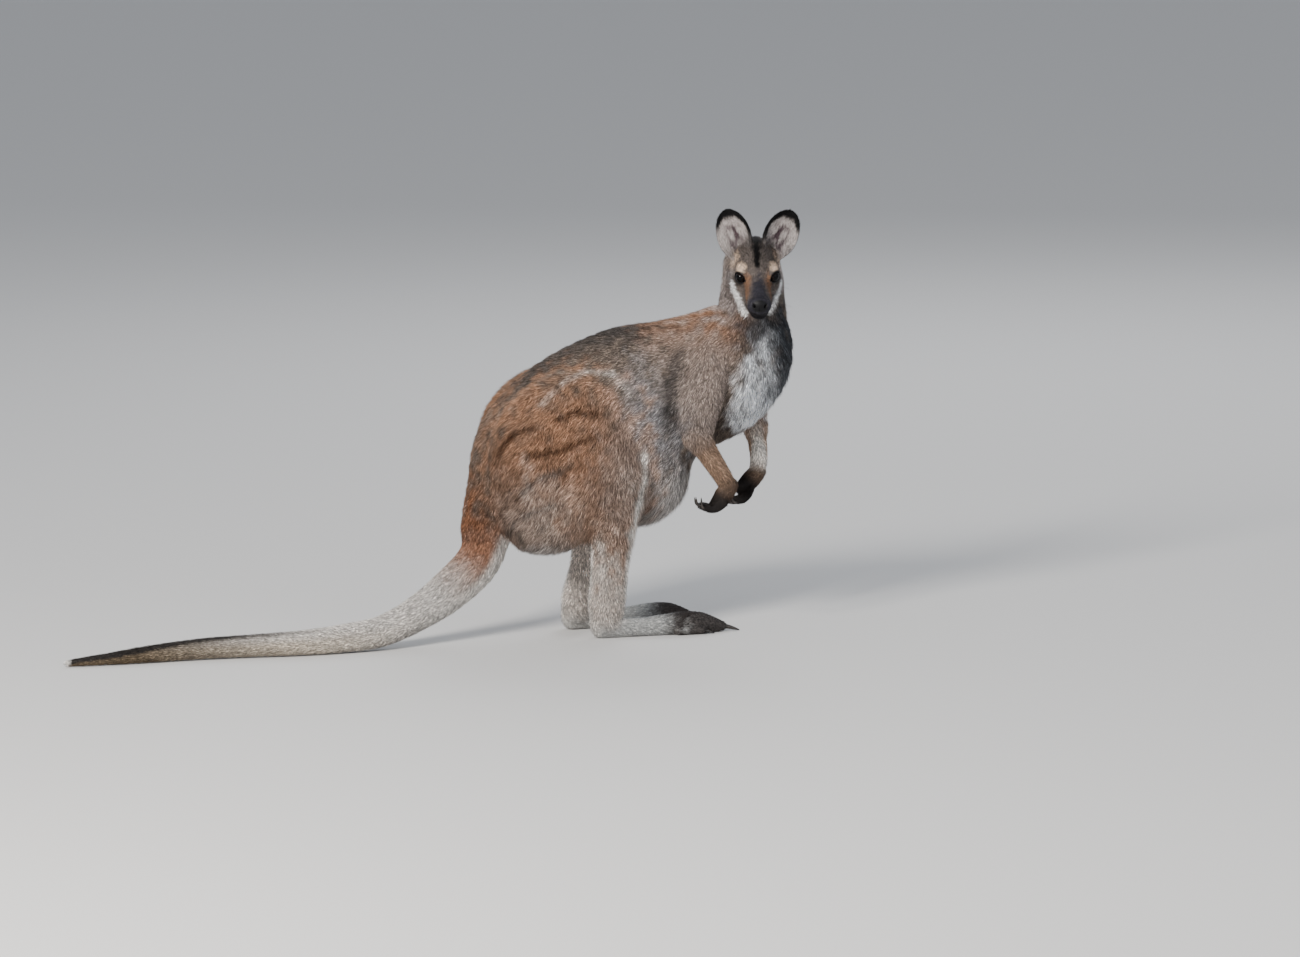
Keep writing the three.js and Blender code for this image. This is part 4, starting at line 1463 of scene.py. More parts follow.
@dataclass
class Markings:
    """The colours of skin and coat at any place of the body."""

    anatomy: Anatomy
    wobble: Waves = Waves(5, 26.0)  # what bends the marks' edges, on the body and on the head
    fine_wobble: Waves = Waves(6, 7.0)

    @staticmethod
    def _body_marks() -> list[Mark]:
        """The marks of trunk and thighs, in the order they are laid.

        Returns:
            The marks, in order.
        """
        p, chest = PALETTE, Axes.turned(-24.0)
        marks: list[Mark] = [
            Blot(p.back, (10, 4, 466), (210, 54, 46), 0.6, 0.9),
            Blot(p.back, (-92, 0, 400), (76, 62, 52), 0.6, 0.75),
            Blot(p.flank, (78, 0, 312), (62, 140, 96), 0.5, 0.75),
            Blot(p.belly, (75, 4, 200), (95, 100, 66), 0.45, 0.9),
            Blot(p.nape, (170, -12, 464), (74, 92, 48), 0.6, 0.9),
            Blot(p.shoulder, (160, 0, 405), (66, 120, 70), 0.5, 0.8),
            Blot(p.mantle, (208, -6, 518), (31, 58, 42), 0.5, 0.9),
            # painted shade under the jaw, over the throat's darker fur
            Blot(p.throat, (262, -50, 455), (44, 44, 38), 0.5, 0.9),
            Blot(p.bib, (252, -35, 370), (33, 46, 80), 0.4, 1.0, chest),
            Blot(p.bib, (247, -34, 334), (33, 58, 46), 0.4, 0.9, chest),
            # painted shadow down the chest's far side, laid over the bib
            Blot(p.throat, (300, -10, 392), (41, 74, 104), 0.35, 0.92),
            Blot(p.rufous, (-125, -10, 262), (66, 120, 110), 0.6, 0.4),
            Blot(p.tail_root, (-172, -22, 166), (48, 66, 66), 0.6, 0.95),
        ]
        for sign in SIDES.values():
            # painted shade: a dark line along each arm's crease against the chest
            marks += line(p.back, [np.array((x, -sign * y, z)) for x, y, z in ARM_CREASE_SHADE], 9, 0.9, 0.75)
            marks.append(on_thigh(sign, p.rufous, (0, 80, 270), (112, 66, 126), 0.5, 0.95))
            # painted shade: dark lines along the creases of the thigh's coat
            for fold in THIGH_CREASE_SHADE_LINES:
                marks += line(p.dark_rufous, [in_pelvis(sign, at) for at in fold], 4.4, 0.6, 0.85)
            marks += line(p.pale, [in_pelvis(sign, at) for at in THIGH_ARC], 4, 0.9, 0.3)
            marks.append(on_thigh(sign, p.shank, (-10, 95, 192), (90, 50, 62), 0.7, 0.45))
            marks.append(on_thigh(sign, p.belly, (-20, 45, 130), (60, 60, 26), 0.5, 0.8))
        return marks

    @staticmethod
    def _edge_marks() -> list[Mark]:
        """The softer rufous of the thigh's front, and the pale hair down it and along the shank, which on the
        shank's front and back edges is partly a painted rim highlight.

        Returns:
            The marks, in order.
        """
        marks: list[Mark] = []
        for side, sign in SIDES.items():
            front = [in_pelvis(sign, at) for at in THIGH_FRONT]
            shin = [np.array((x + depth * 0.8, y, z)) for x, y, z, depth, *_ in SHANKS[side][2:5]]
            heel = [np.array((x - depth * 0.95, y, z)) for x, y, z, depth, *_ in SHANKS[side][2:6]]
            marks.append(Blot(PALETTE.rufous, in_pelvis(sign, (76, 92, 205)), (58, 52, 90), 0.8, 0.8))
            marks.append(Blot(PALETTE.shoulder, in_pelvis(sign, (92, 96, 250)), (42, 46, 76), 0.8, 0.7))
            # pale hair along the front, and down the shank's front and back edges partly a painted rim
            # highlight
            marks += line(PALETTE.pale, front + shin, 6.5, 0.7, 0.9)
            marks += line(PALETTE.pale, heel, 9, 0.7, 0.8)
        return marks

    @staticmethod
    def _head_marks() -> list[Mark]:
        """The marks of the face, in the order they are laid.

        Returns:
            The marks, in order.
        """
        p = PALETTE
        return [
            # the throat colour under the jaw and cheeks is painted shade over darker fur
            *on_head(p.throat, (-2, 0, -48), (60, 30, 22), 0.4, 0.85),
            *on_head(p.mantle, (-20, 42, -14), (26, 16, 34), 0.5, 0.9),
            *on_head(p.throat, (12, 31, -44), (22, 13, 19), 0.6, 0.5),
            *on_head(p.brow, (-24, 32, 16), (14, 12, 12), 0.5, 0.85),
            *on_head(p.toes, (8, 31, 0), (10, 9, 8), 0.5, 0.8),
            *on_head(p.stripe, (14, 23, 8), (13, 12.5, 10.5), 0.35, 0.8),
            *head_line(p.ginger, ((24, 16, 8), (52, 17, -9)), 8.5, 0.6, 0.9),
            *head_line(p.toes, ((28, 21, -8), (46, 20, -16)), 5.0, 0.7, 0.25),
            *head_line(p.stripe, ((-36, 0, 46), (-20, 0, 42), (-6, 0, 36)), 5.6, 0.8, 0.7),
            *head_line(p.stripe, ((-28, 0, 44), (-10, 0, 38), (6, 0, 32), (15, 0, 27)), 4.2, 0.5, 1.0),
            *on_head(p.stripe, (-38, 0, 46), (16, 9, 16), 0.5, 0.9),
            *on_head(p.muzzle, (57, 0, 9), (31, 10.5, 20), 0.45, 1.0),
            *on_head(p.muzzle, (86, 0, -18), (33, 28, 36), 0.25, 1.0),
            *on_head(p.stripe, (74, 0, -31), (32, 27, 13), 0.4, 0.75),
            *on_head(p.brow, (8, 24, 21), (10, 8.5, 6.5), 0.4, 1.0),
        ]

    @staticmethod
    def _streaks() -> list[Mark]:
        """The white line from under each eye along the cheek to the jaw.

        Returns:
            Its lengths on both sides.
        """
        marks: list[Mark] = []
        for side, radius in (("right", 5.4), ("left", 4.4)):
            streak = ((4, 36, -9), (12, 31, -19), (20.5, 24.8, -31), (30, 19, -40))
            places = [in_head(ahead, SIDES[side] * out, up) for ahead, out, up in streak]
            marks += line(PALETTE.cheek, places, radius, 0.4, 1.0)
        return marks

    @staticmethod
    def _painted(tint: Array, marks: Sequence[Mark], points: Array, noise: Waves, share: Array) -> Array:
        """Lays marks over a tint where a part's share is felt."""
        wobble = noise.at(points)[:, 0]
        return laid(tint, *[(mark.colour, mark.mask(points, wobble) * share) for mark in marks])

    def tints(self, points: Array, weights: Array) -> Array:
        """The coat's colour at points.

        Args:
            points: places on the skin.
            weights: each region's share there, as (points, regions).

        Returns:
            Linear colours, as (points, 3).
        """
        p = PALETTE
        tint = weights @ np.stack(
            [p.face, p.ear_back, p.grizzled, p.tail, p.grizzled, p.shank, p.foot, p.shoulder, p.arm, p.paw]
        )
        body = 1.0 - weights[:, Region.HEAD] - weights[:, Region.EAR]
        body -= weights[:, [Region.FOOT, Region.FOREARM, Region.HAND]].sum(axis=1)
        trunk = np.clip(body - weights[:, Region.SHANK] - weights[:, Region.TAIL] * 0.5, 0, 1)
        head = weights[:, Region.HEAD]
        for marks, noise, share in (
            (self._body_marks(), self.wobble, trunk),
            (self._edge_marks(), self.wobble, np.clip(body, 0, 1)),
            (self._head_marks(), self.fine_wobble, head),
            (self._streaks(), self.fine_wobble, head + weights[:, Region.TRUNK]),
        ):
            tint = self._painted(tint, marks, points, noise, share)
        for paint in (self._tail, self._feet, self._arms, self._ears):
            tint = paint(tint, points, weights)
        return tint

    def _tail(self, tint: Array, points: Array, weights: Array) -> Array:
        """Rufous at the root, paler below, with a dark upper line that widens towards the tip.

        Args:
            tint: the colours there so far.
            points: places in the body's millimetres.
            weights: each region's share there.

        Returns:
            The new colours.
        """
        course = self.anatomy.tail.follow(points)
        share, above = course.share, -np.cos(course.angle)
        own = weights[:, Region.TAIL]
        root = own * (1.0 - eased(share, 0.04, 0.21)) * 0.95
        fringe = own * (1.0 - eased(share, 0.12, 0.3)) * eased(-above, 0.0, 0.55) * 0.85
        rim = 0.85 - 1.05 * eased(share, 0.6, 1.0)
        dark = own * eased(share, 0.42, 0.62) * eased(above - rim, -0.2, 0.12) * 0.95
        under = own * (1.0 - eased(above, -0.1, 0.85)) * eased(share, 0.2, 0.55) * 0.8
        dusk = own * eased(share, 0.46, 0.8)
        tuft = own * eased(share, 0.965, 0.99) * 0.85
        p = PALETTE
        colours = (p.tail_root, p.pale, p.tail_side, p.tail_end, p.tail_tip, p.pale)
        return laid(tint, *zip(colours, (root, fringe, under, dusk, dark, tuft)))

    def _feet(self, tint: Array, points: Array, weights: Array) -> Array:
        """Feet that darken towards the toes.

        Args:
            tint: the colours there so far.
            points: places in the body's millimetres.
            weights: each region's share there.

        Returns:
            The new colours.
        """
        own = weights[:, Region.FOOT]
        for side in SIDES:
            heel, heading = HEELS[side]
            along = (points - np.asarray(heel, float)) @ Axes.turned(heading).ahead
            close = np.linalg.norm(points - on_foot(side, 110, 0, 10), axis=1) < 130
            dark = own * close * eased(along + self.fine_wobble.at(points)[:, 0] * 6, 112, 150) * 0.95
            tint = laid(tint, (PALETTE.toes, dark))
        return tint

    def _arms(self, tint: Array, points: Array, weights: Array) -> Array:
        """Forearms that darken to the wrist and are pale inside.

        Args:
            tint: the colours there so far.
            points: places in the body's millimetres.
            weights: each region's share there.

        Returns:
            The new colours.
        """
        own = weights[:, Region.FOREARM]
        for side in SIDES:
            course = self.anatomy.forearms[side].follow(points)
            close = course.distance < 25
            inner = (points[:, 1] - np.mean([row[1] for row in FOREARMS[side]])) * SIDES[side]
            pale = own * close * eased(inner, 1, 7) * (1.0 - eased(course.share, 0.75, 1.0)) * 0.9
            dark = own * close * eased(course.share, 0.62, 1.0) * 0.8
            tint = laid(tint, (PALETTE.pale, pale), (PALETTE.toes, dark))
        return tint

    def _ears(self, tint: Array, points: Array, weights: Array) -> Array:
        """Ears with a black rim, a dark back and a pale hollow, with painted shade in the bare skin's tone
        deep in the hollow's middle.

        Args:
            tint: the colours there so far.
            points: places in the body's millimetres.
            weights: each region's share there.

        Returns:
            The new colours.
        """
        own = weights[:, Region.EAR]
        for leaf in self.anatomy.ears.values():
            along, height, past, off = leaf.coordinates(points)
            close = leaf.distance(points) < 6
            inward = leaf.inward(points)
            inner = eased(inward, -4.0, 6.0)
            hollow = own * close * eased(off, -0.4, 0.8)
            streaky = self.fine_wobble.at(np.column_stack((inward, height * 0.3, off)))[:, 0]
            middle = 1.0 - eased(np.abs(inward - 1.0), 6.0, 15.0)
            # painted shade in the hollow's lower middle, in the bare skin's purplish tone
            deep = hollow * middle * (1.0 - eased(along, 0.52, 0.74)) * eased(streaky, -0.5, 0.35)
            rim_width = 2.6 + 13.0 * eased(along, 0.52, 0.9) + 3.0 * inner
            rim = own * close * (1.0 - eased(-past, rim_width * 0.55, rim_width * 1.1))
            rim = rim * np.maximum(eased(along, 0.5, 0.72), inner * eased(along, 0.05, 0.2))
            crown = own * close * eased(along, 0.72, 0.84)
            colours = (PALETTE.ear_hollow, PALETTE.ear_skin, PALETTE.ear_rim)
            tint = laid(tint, *zip(colours, (hollow, deep, np.maximum(rim, crown))))
        return tint


# ---- skin
@dataclass
class Hide:
    """The skin's surface and what the coat needs to know at each of its points."""

    points: Array
    normals: Array
    quads: Array
    triangles: Array
    weights: Array
    lies: Array
    tints: Array
    bare: Array

    def corners(self) -> Array:
        """The surface as triangles only."""
        return np.vstack((self.quads[:, (0, 1, 2)], self.quads[:, (0, 2, 3)], self.triangles))


@dataclass
class Skin:
    """The one skin that stands for every node of flesh."""

    anatomy: Anatomy
    low: Triple = (-830.0, -260.0, -10.0)
    high: Triple = (330.0, 170.0, 660.0)
    seam: float = 7.0  # how softly one region gives way to the next, in mm
    droop: Triple = (0.0, 0.0, -0.45)  # what weight adds to the lie of the trunk's coat
    chest_lie: Triple = (-0.15, 0.0, -1.0)
    chest_from: Pair = (200, 250)  # where the chest's lie takes over ahead of the trunk's
    chest_to: Pair = (470, 520)  # and where it gives way above
    head_lie: Triple = (-1.0, 0.0, -0.12)
    thigh_lie: Triple = (-0.5, 0.0, -0.8)
    parting: Pair = (2.0, 11.0)  # where the coat about an eye turns away from it, in mm from the lids' rim
    parting_force: float = 1.4
    lid_rim: Pair = (1.6, 3.4)
    lid_depth: Pair = (-1.0, 16.0)
    lip_rim: Pair = (0.5, 1.6)
    sole: float = 0.3
    flesh: str = (
        "jaw nose head ear_right ear_left neck chest loin rump tail_root tail_middle tail_lower tail_end "
        "thigh_right shank_right foot_right thigh_left shank_left foot_left "
        "upper_arm_right forearm_right hand_right upper_arm_left forearm_left hand_left"
    )

    def _details(self) -> list[Detail]:
        """Where the cells are small.

        Returns:
            Balls of fine cells for the face, ears, hands, feet and the tail's end.
        """
        face = (((14, 0, -2), 54, 0), ((60, 0, -12), 42, 0), ((-10, 0, 0), 96, 1))
        details = [Detail(in_head(*at), radius, level) for at, radius, level in face]
        for side in SIDES:
            ear = self.anatomy.ears[side]
            details += [Detail(ear.root + ear.up * up, radius, 0) for up, radius in ((24, 30), (54, 40))]
            details.append(Detail(self.anatomy.hand_place(side, 18, 14, 0), 40, 0))
            details += [Detail(on_foot(side, 160, 0, 8), 62, 1), Detail(on_foot(side, 60, 0, 15), 70, 1)]
            details += [Detail(np.asarray(row[:3]), 34, 1) for row in FOREARMS[side]]
        return details + [Detail(np.asarray(row[:3]), 44, 1) for row in TAIL[9:]]

    def _weights(self, points: Array) -> Array:
        """Each region's share at points.

        Args:
            points: places in the body's millimetres.

        Returns:
            A row of shares for each, which add up to 1.
        """
        fields = [self.anatomy.regions[region] for region in Region]
        away = np.stack([sampled(field, points[:, None])[:, 0] for field in fields], axis=1)
        weights = np.exp(-(away - away.min(axis=1, keepdims=True)) / self.seam * 2)
        return weights / weights.sum(axis=1, keepdims=True)

    def _flows(self, points: Array) -> list[Array]:
        """The lie of each region's coat, before it is laid on the surface.

        Args:
            points: places in the body's millimetres.

        Returns:
            A way at each point for each region, in the regions' order.
        """
        part = self.anatomy
        spine = -part.spine.follow(points).tangent + self.droop
        ahead, above = eased(points[:, :1], *self.chest_from), eased(points[:, 2:], *self.chest_to)
        chest = ahead * (1 - above)
        spine = spine * (1 - chest) + chest * np.array(self.chest_lie)
        ways = (HEAD_AXES.vector(self.head_lie), PELVIS_AXES.vector(self.thigh_lie), -LEVEL.up)
        head, thigh, down = [np.broadcast_to(way, points.shape) for way in ways]
        forearms = [arm.follow(points).tangent for arm in part.forearms.values()]
        pairs = (
            (right_of_head(points), [ear.up for ear in part.ears.values()]),
            (by_right_foot(points), [Axes.turned(heading).ahead for _, heading in HEELS.values()]),
            (by_right_one(part.forearms, points), forearms),
            (by_right_one(part.hands, points), [np.add(h.reach, h.curl) for h in HAND_POSES.values()]),
        )
        ears, feet, fore, hands = [np.where(right[:, None], *both) for right, both in pairs]
        return [head, ears, spine, part.tail.follow(points).tangent, thigh, down, feet, down, fore, hands]

    def _lies(self, points: Array, normals: Array, weights: Array) -> Array:
        """The lie of the coat along the surface.

        Args:
            points: places in the body's millimetres.
            normals: the skin's outward directions there.
            weights: each region's share there.

        Returns:
            Directions along the surface.
        """
        lie = np.zeros(points.shape)
        for i, flow in enumerate(self._flows(points)):
            lie += weights[:, i : i + 1] * units(flow)
        lie = units(lie)
        for opening in self.anatomy.openings.values():
            parted = (1.0 - opening.away(points, *self.parting))[:, None]
            lie += (units(points - opening.centre) * self.parting_force - lie) * parted
        lie -= np.sum(lie * normals, axis=1, keepdims=True) * normals
        return units(lie)

    def _bare(self, points: Array, weights: Array) -> Array:
        """How bare the skin is: the nose, lips, lids and soles.

        Args:
            points: places in the body's millimetres.
            weights: each region's share there.

        Returns:
            0 for a full coat, 1 for none.
        """
        none = np.zeros(len(points))
        bare = on_head(PALETTE.nose, (82, 0, -4), (11, 12.5, 9.5), 0.12, 1.0)[0].mask(points, none)
        for side in SIDES:
            brim, out = self.anatomy.openings[side].seen(points)
            near = (out > self.lid_depth[0]) * (out < self.lid_depth[1])
            bare = np.maximum(bare, (1.0 - eased(brim, *self.lid_rim)) * near)
            lips = Tube(self.anatomy.lip_rows(side))
            bare = np.maximum(bare, 1.0 - eased(lips.distance(points), *self.lip_rim))
        sole = weights[:, Region.FOOT] * (points[:, 2] < FLOOR_CLEARANCE + self.sole)
        return np.maximum(bare, sole)

    def build(self) -> Hide:
        """Makes the skin's surface and measures it.

        Returns:
            The hide, for the coat to grow on.
        """
        box = np.array(self.low), np.array(self.high)
        contour = Contour(self.anatomy.skin, self._details(), *box)
        points, normals, quads, triangles = contour.surface()
        LOG.info("skin surface: %d points, %d quads, %d triangles", len(points), len(quads), len(triangles))
        weights = self._weights(points)
        lies = self._lies(points, normals, weights)
        tints = Markings(self.anatomy).tints(points, weights)
        bare = self._bare(points, weights)
        tints = laid(tints, (PALETTE.nose, bare))
        return Hide(points, normals, quads, triangles, weights, lies, tints, bare)

    def dress(self, hide: Hide, material: Material) -> None:
        """Makes the skin's piece.

        Args:
            hide: its surface.
            material: its finish.
        """
        mesh = new_mesh("skin", hide.points, (hide.quads, hide.triangles))
        store(mesh, "tint", hide.tints)
        store(mesh, "bare", hide.bare)
        piece = new_piece("skin", mesh, material)
        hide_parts(*self.flesh.split())


# ---- coat
@dataclass(frozen=True)
class CoatStyle:
    """How one region's tufts grow: millimetres, degrees and tufts to the square millimetre."""

    length: float
    width: float
    rise: float
    stray: float
    wave: float
    density: float
    clump: float

    def row(self) -> tuple[float, ...]:
        """The style's numbers in order."""
        return (self.length, self.width, self.rise, self.stray, self.wave, self.density, self.clump)


STYLES = {
    Region.HEAD: CoatStyle(5.0, 0.66, 18, 9, 6, 1.4, 0.1),
    Region.EAR: CoatStyle(3.8, 0.6, 9, 10, 8, 1.15, 0.12),
    Region.TRUNK: CoatStyle(10.5, 1.05, 17, 11, 9, 0.585, 0.16),
    Region.TAIL: CoatStyle(9.5, 1.0, 11, 9, 8, 0.48, 0.15),
    Region.THIGH: CoatStyle(15.0, 1.2, 19, 12, 17, 0.47, 0.28),
    Region.SHANK: CoatStyle(9.0, 0.95, 22, 11, 10, 0.64, 0.15),
    Region.FOOT: CoatStyle(7.0, 0.85, 15, 10, 8, 0.75, 0.1),
    Region.UPPER_ARM: CoatStyle(10.5, 1.05, 18, 11, 10, 0.6, 0.16),
    Region.FOREARM: CoatStyle(8.0, 0.9, 17, 10, 8, 0.85, 0.12),
    Region.HAND: CoatStyle(3.5, 0.6, 13, 10, 6, 1.2, 0.05),
}


@dataclass(frozen=True)
class Trim:
    """A soft ball in which tufts are longer or shorter than the region's own."""

    at: Sequence[float]
    radii: Triple
    factor: float
    axes: Axes = LEVEL

    def factors(self, points: Array) -> Array:
        """The factor at each point."""
        ball = Blot(PALETTE.bib, self.at, self.radii, 0.4, 1.0, self.axes)
        return 1.0 + (self.factor - 1.0) * ball.mask(points, np.zeros(len(points)))


TRIMS = (
    Trim(in_head(62, 0, -8), (44, 34, 40), 0.45, HEAD_AXES),
    Trim(in_head(-38, 0, 46), (18, 14, 16), 1.9, HEAD_AXES),
    Trim((256, -33, 355), (54, 66, 80), 1.7, Axes.turned(-24.0)),
    Trim((75, 4, 192), (110, 100, 66), 2.1),
    Trim((-784, -217, 6), (80, 40, 40), 0.7),
    Trim(on_foot("right", 170, 0, 8), (50, 40, 30), 0.6),
    Trim(on_foot("left", 170, 0, 8), (50, 40, 30), 0.6),
)


SLOTS = {
    Region.EAR: "pale_coat",
    Region.THIGH: "rufous_coat",
    Region.FOOT: "pale_coat",
    Region.HAND: "dark_coat",
}


@dataclass
class Coat:
    """The tufts of every part, each piece grown on its own share of the hide."""

    anatomy: Anatomy
    hide: Hide
    material: dict[str, Material]  # the fur of each slot
    seed: int = 41
    sink: float = 1.0  # how deep a tuft's root lies under the skin, and at most this share of its length
    sink_share: float = 0.15
    patch: float = 0.003
    map_edge: float = 0.01
    most: int = 49000  # tufts in a piece
    spare: float = 1.9  # how many places are drawn for each tuft that is wanted
    evenness: float = 0.78  # the least room about a root, as a share of the mean
    clump_size: float = 9.0
    clump_shift: float = 4.0  # how far the locks' bounds are bent, in mm
    crest: float = 0.45  # the height of a tuft's root section as a share of its width
    lengths: Pair = (0.7, 1.25)  # the least and the greatest share of the style's own value
    widths: Pair = (0.75, 1.25)
    rises: Pair = (0.6, 1.4)
    pulls: Pair = (0.3, 1.0)
    ripple_share: float = 0.3
    tint_spread: float = 0.31  # how much lighter or darker tufts are from one to the next
    lid_length: float = 0.3  # the share of their length that tufts have at the lids
    lid_reach: Pair = (2.0, 14.0)  # how far from them they reach the whole of it, in mm
    ear_hollow: Triple = (0.9, 9.0, 0.25)  # in an ear's hollow: a share of the length, more rise and clumping
    trunk_splits: Triple = (0.3, 0.53, 0.71)  # where rump, loin, chest and neck meet along the spine
    tail_split: float = 0.36
    middle: float = 4.0  # the body's middle between right and left pieces, in mm
    plain: str = "grey_coat"

    def __post_init__(self) -> None:
        """Measures the coat's style at each point of the hide."""
        self.random = np.random.default_rng(self.seed)
        self.styles = self._groomed()
        self.swirl = Waves(11, 60.0)
        self.ripple = Waves(12, 15.0)
        self.corners = self.hide.corners()

    def _groomed(self) -> Array:
        """The coat's style at each point of the hide.

        Returns:
            A row of a style's numbers for each point.
        """
        points = self.hide.points
        styles = self.hide.weights @ np.array([STYLES[region].row() for region in Region])
        for trim in TRIMS:
            styles[:, 0] *= trim.factors(points)
        for opening in self.anatomy.openings.values():
            styles[:, 0] *= self.lid_length + (1.0 - self.lid_length) * opening.away(points, *self.lid_reach)
        for leaf in self.anatomy.ears.values():
            along, _, _, off = leaf.coordinates(points)
            hollow = (leaf.distance(points) < 4) * eased(off, -0.2, 0.8) * (1.0 - eased(along, 0.75, 0.95))
            longer, steeper, closer = self.ear_hollow
            styles[:, 0] *= 1.0 + longer * hollow
            styles[:, 2] += steeper * hollow
            styles[:, 6] += closer * hollow
        return styles

    def _sections(self) -> dict[str, tuple[Array, Unwrap, str]]:
        """Each coat piece's share of the hide, its unwrap and its slot.

        Returns:
            For each piece, its points of the hide, how it is laid flat and its slot.
        """
        part, points = self.anatomy, self.hide.points
        region = self.hide.weights.argmax(axis=1)
        trunk, tail = region == Region.TRUNK, region == Region.TAIL
        along = part.spine.follow(points).share
        far = part.tail.follow(points).share > self.tail_split
        right = points[:, 1] < self.middle
        rump, loin, chest = self.trunk_splits
        spine, skull = part.spine.unwrap, Ellipsoid(HEAD_PLACE, (60, 40, 45), HEAD_AXES).unwrap
        shares = {
            "head": (region == Region.HEAD, skull),
            "neck": (trunk & (along > chest), spine),
            "chest_right": (trunk & (along > loin) & (along <= chest) & right, spine),
            "chest_left": (trunk & (along > loin) & (along <= chest) & ~right, spine),
            "loin_right": (trunk & (along > rump) & (along <= loin) & right, spine),
            "loin_left": (trunk & (along > rump) & (along <= loin) & ~right, spine),
            "rump": (trunk & (along <= rump), spine),
            "tail_root": (tail & ~far, part.tail.unwrap),
            "tail": (tail & far, part.tail.unwrap),
        }
        sections = {f"coat_{name}": (*share, self.plain) for name, share in shares.items()}
        nearer = {
            Region.EAR: right_of_head(points),
            Region.FOOT: by_right_foot(points),
            Region.HAND: by_right_one(part.hands, points),
        }
        for side in SIDES:
            shapes = {
                Region.EAR: part.ears[side],
                Region.THIGH: Ellipsoid(in_pelvis(SIDES[side], THIGH[0]), THIGH[1], PELVIS_AXES),
                Region.SHANK: part.shanks[side],
                Region.FOOT: Tube(part.foot_rows(side)),
                Region.UPPER_ARM: part.upper_arms[side],
                Region.FOREARM: part.forearms[side],
                Region.HAND: Tube(part.palm_rows(side)),
            }
            for kind, shape in shapes.items():
                mine = (region == kind) & (nearer.get(kind, right) == (side == "right"))
                name = f"coat_{kind.name.lower()}_{side}"
                sections[name] = (mine, shape.unwrap, SLOTS.get(kind, self.plain))
        return sections

    def _roots(self, mine: Array) -> tuple[Array, Array]:
        """Evenly scattered places on part of the hide.

        Args:
            mine: which of the hide's points belong to the part.

        Returns:
            For each root, the three hide points about it and their shares.
        """
        corners = self.corners[mine[self.corners].sum(axis=1) >= 2]
        places = self.hide.points[corners]
        spread = np.cross(places[:, 1] - places[:, 0], places[:, 2] - places[:, 0])
        area = np.linalg.norm(spread, axis=1) / 2
        wanted = area * (self.styles[corners, 5] * (1.0 - self.hide.bare[corners])).mean(axis=1)
        total = min(wanted.sum(), self.most)
        drawn = int(total * self.spare)
        reached = np.cumsum(wanted) / wanted.sum()
        which = np.minimum(np.searchsorted(reached, self.random.random(drawn)), len(corners) - 1)
        shares = self.random.random((drawn, 2))
        shares = np.where(shares.sum(axis=1, keepdims=True) > 1, 1 - shares, shares)
        shares = np.column_stack((1 - shares.sum(axis=1), shares))
        spots = np.einsum("nij,ni->nj", places[which], shares)
        spacing = self.evenness * math.sqrt(area.sum() / max(total, 1))
        _, kept = np.unique(np.floor(spots / spacing).astype(int), axis=0, return_index=True)
        kept = self.random.permutation(kept)[: int(total)]
        return corners[which[kept]], shares[kept]

    def _leaned(self, roots: Array, normals: Array, lies: Array, styles: Array) -> Array:
        """Each tuft's way from root to tip.

        Args:
            roots: the tufts' roots.
            normals: the skin's outward directions there.
            lies: the lie of the coat there.
            styles: the coat's style there.

        Returns:
            Directions.
        """
        turn = self.swirl.at(roots)[:, 0] * styles[:, 4]
        turn = turn + self.ripple.at(roots)[:, 0] * styles[:, 4] * self.ripple_share
        turn = np.radians(turn + self.random.normal(0, 1, len(roots)) * styles[:, 3])[:, None]
        across = np.cross(normals, lies)
        way = lies * np.cos(turn) + across * np.sin(turn)
        rise = np.radians(styles[:, 2] * self.random.uniform(*self.rises, len(roots)))[:, None]
        return way * np.cos(rise) + normals * np.sin(rise)

    def _clumped(self, roots: Array, tips: Array, pull: Array) -> Array:
        """Tips drawn together in small locks.

        Args:
            roots: the tufts' roots.
            tips: their tips.
            pull: how strongly each is drawn in.

        Returns:
            The moved tips.
        """
        bent = roots + self.ripple.at(roots) * self.clump_shift
        _, lock = np.unique(np.floor(bent / self.clump_size).astype(int), axis=0, return_inverse=True)
        lock = lock.reshape(-1)
        count = np.bincount(lock)
        middle = np.stack([np.bincount(lock, weights=tips[:, i]) / count for i in range(3)], axis=1)
        strength = (pull * self.random.uniform(*self.pulls, len(tips)))[:, None]
        return tips + (middle[lock] - tips) * strength

    def _grow(self, name: str, mine: Array, unwrap: Unwrap, slot: str) -> None:
        """Grows one piece of the coat.

        Args:
            name: the piece's name.
            mine: which points of the hide it covers.
            unwrap: lays places on the skin flat.
            slot: which fur finish the piece takes.
        """
        corners, shares = self._roots(mine)
        hide = self.hide
        roots, normals, lies, tints, styles = [
            np.einsum("nij,ni->nj", values[corners], shares)
            for values in (hide.points, hide.normals, hide.lies, hide.tints, self.styles)
        ]
        normals, lies = units(normals), units(lies)
        ways = self._leaned(roots, normals, lies, styles)
        lengths = styles[:, :1] * self.random.uniform(*self.lengths, (len(roots), 1))
        tips = self._clumped(roots, roots + ways * lengths, styles[:, 6])
        across = units(np.cross(normals, ways)) * styles[:, 1:2]
        side = across * self.random.uniform(*self.widths, (len(roots), 1))
        base = roots - normals * np.minimum(self.sink, styles[:, :1] * self.sink_share)
        crest = base + normals * styles[:, 1:2] * self.crest
        points = np.stack((base - side / 2, base + side / 2, crest, tips), axis=1).reshape(-1, 3)
        points[:, 2] = np.maximum(points[:, 2], FLOOR_CLEARANCE)
        first = np.arange(len(roots))[:, None] * 4
        faces = (first[:, None] + np.array(((0, 1, 2), (1, 0, 3), (2, 1, 3), (0, 2, 3)))).reshape(-1, 3)
        mesh = new_mesh(name, points, (self._outward(points, faces),))
        varied = tints * np.exp(self.random.normal(0, self.tint_spread, (len(tints), 1)))
        store(mesh, "tint", np.repeat(varied, 4, axis=0))
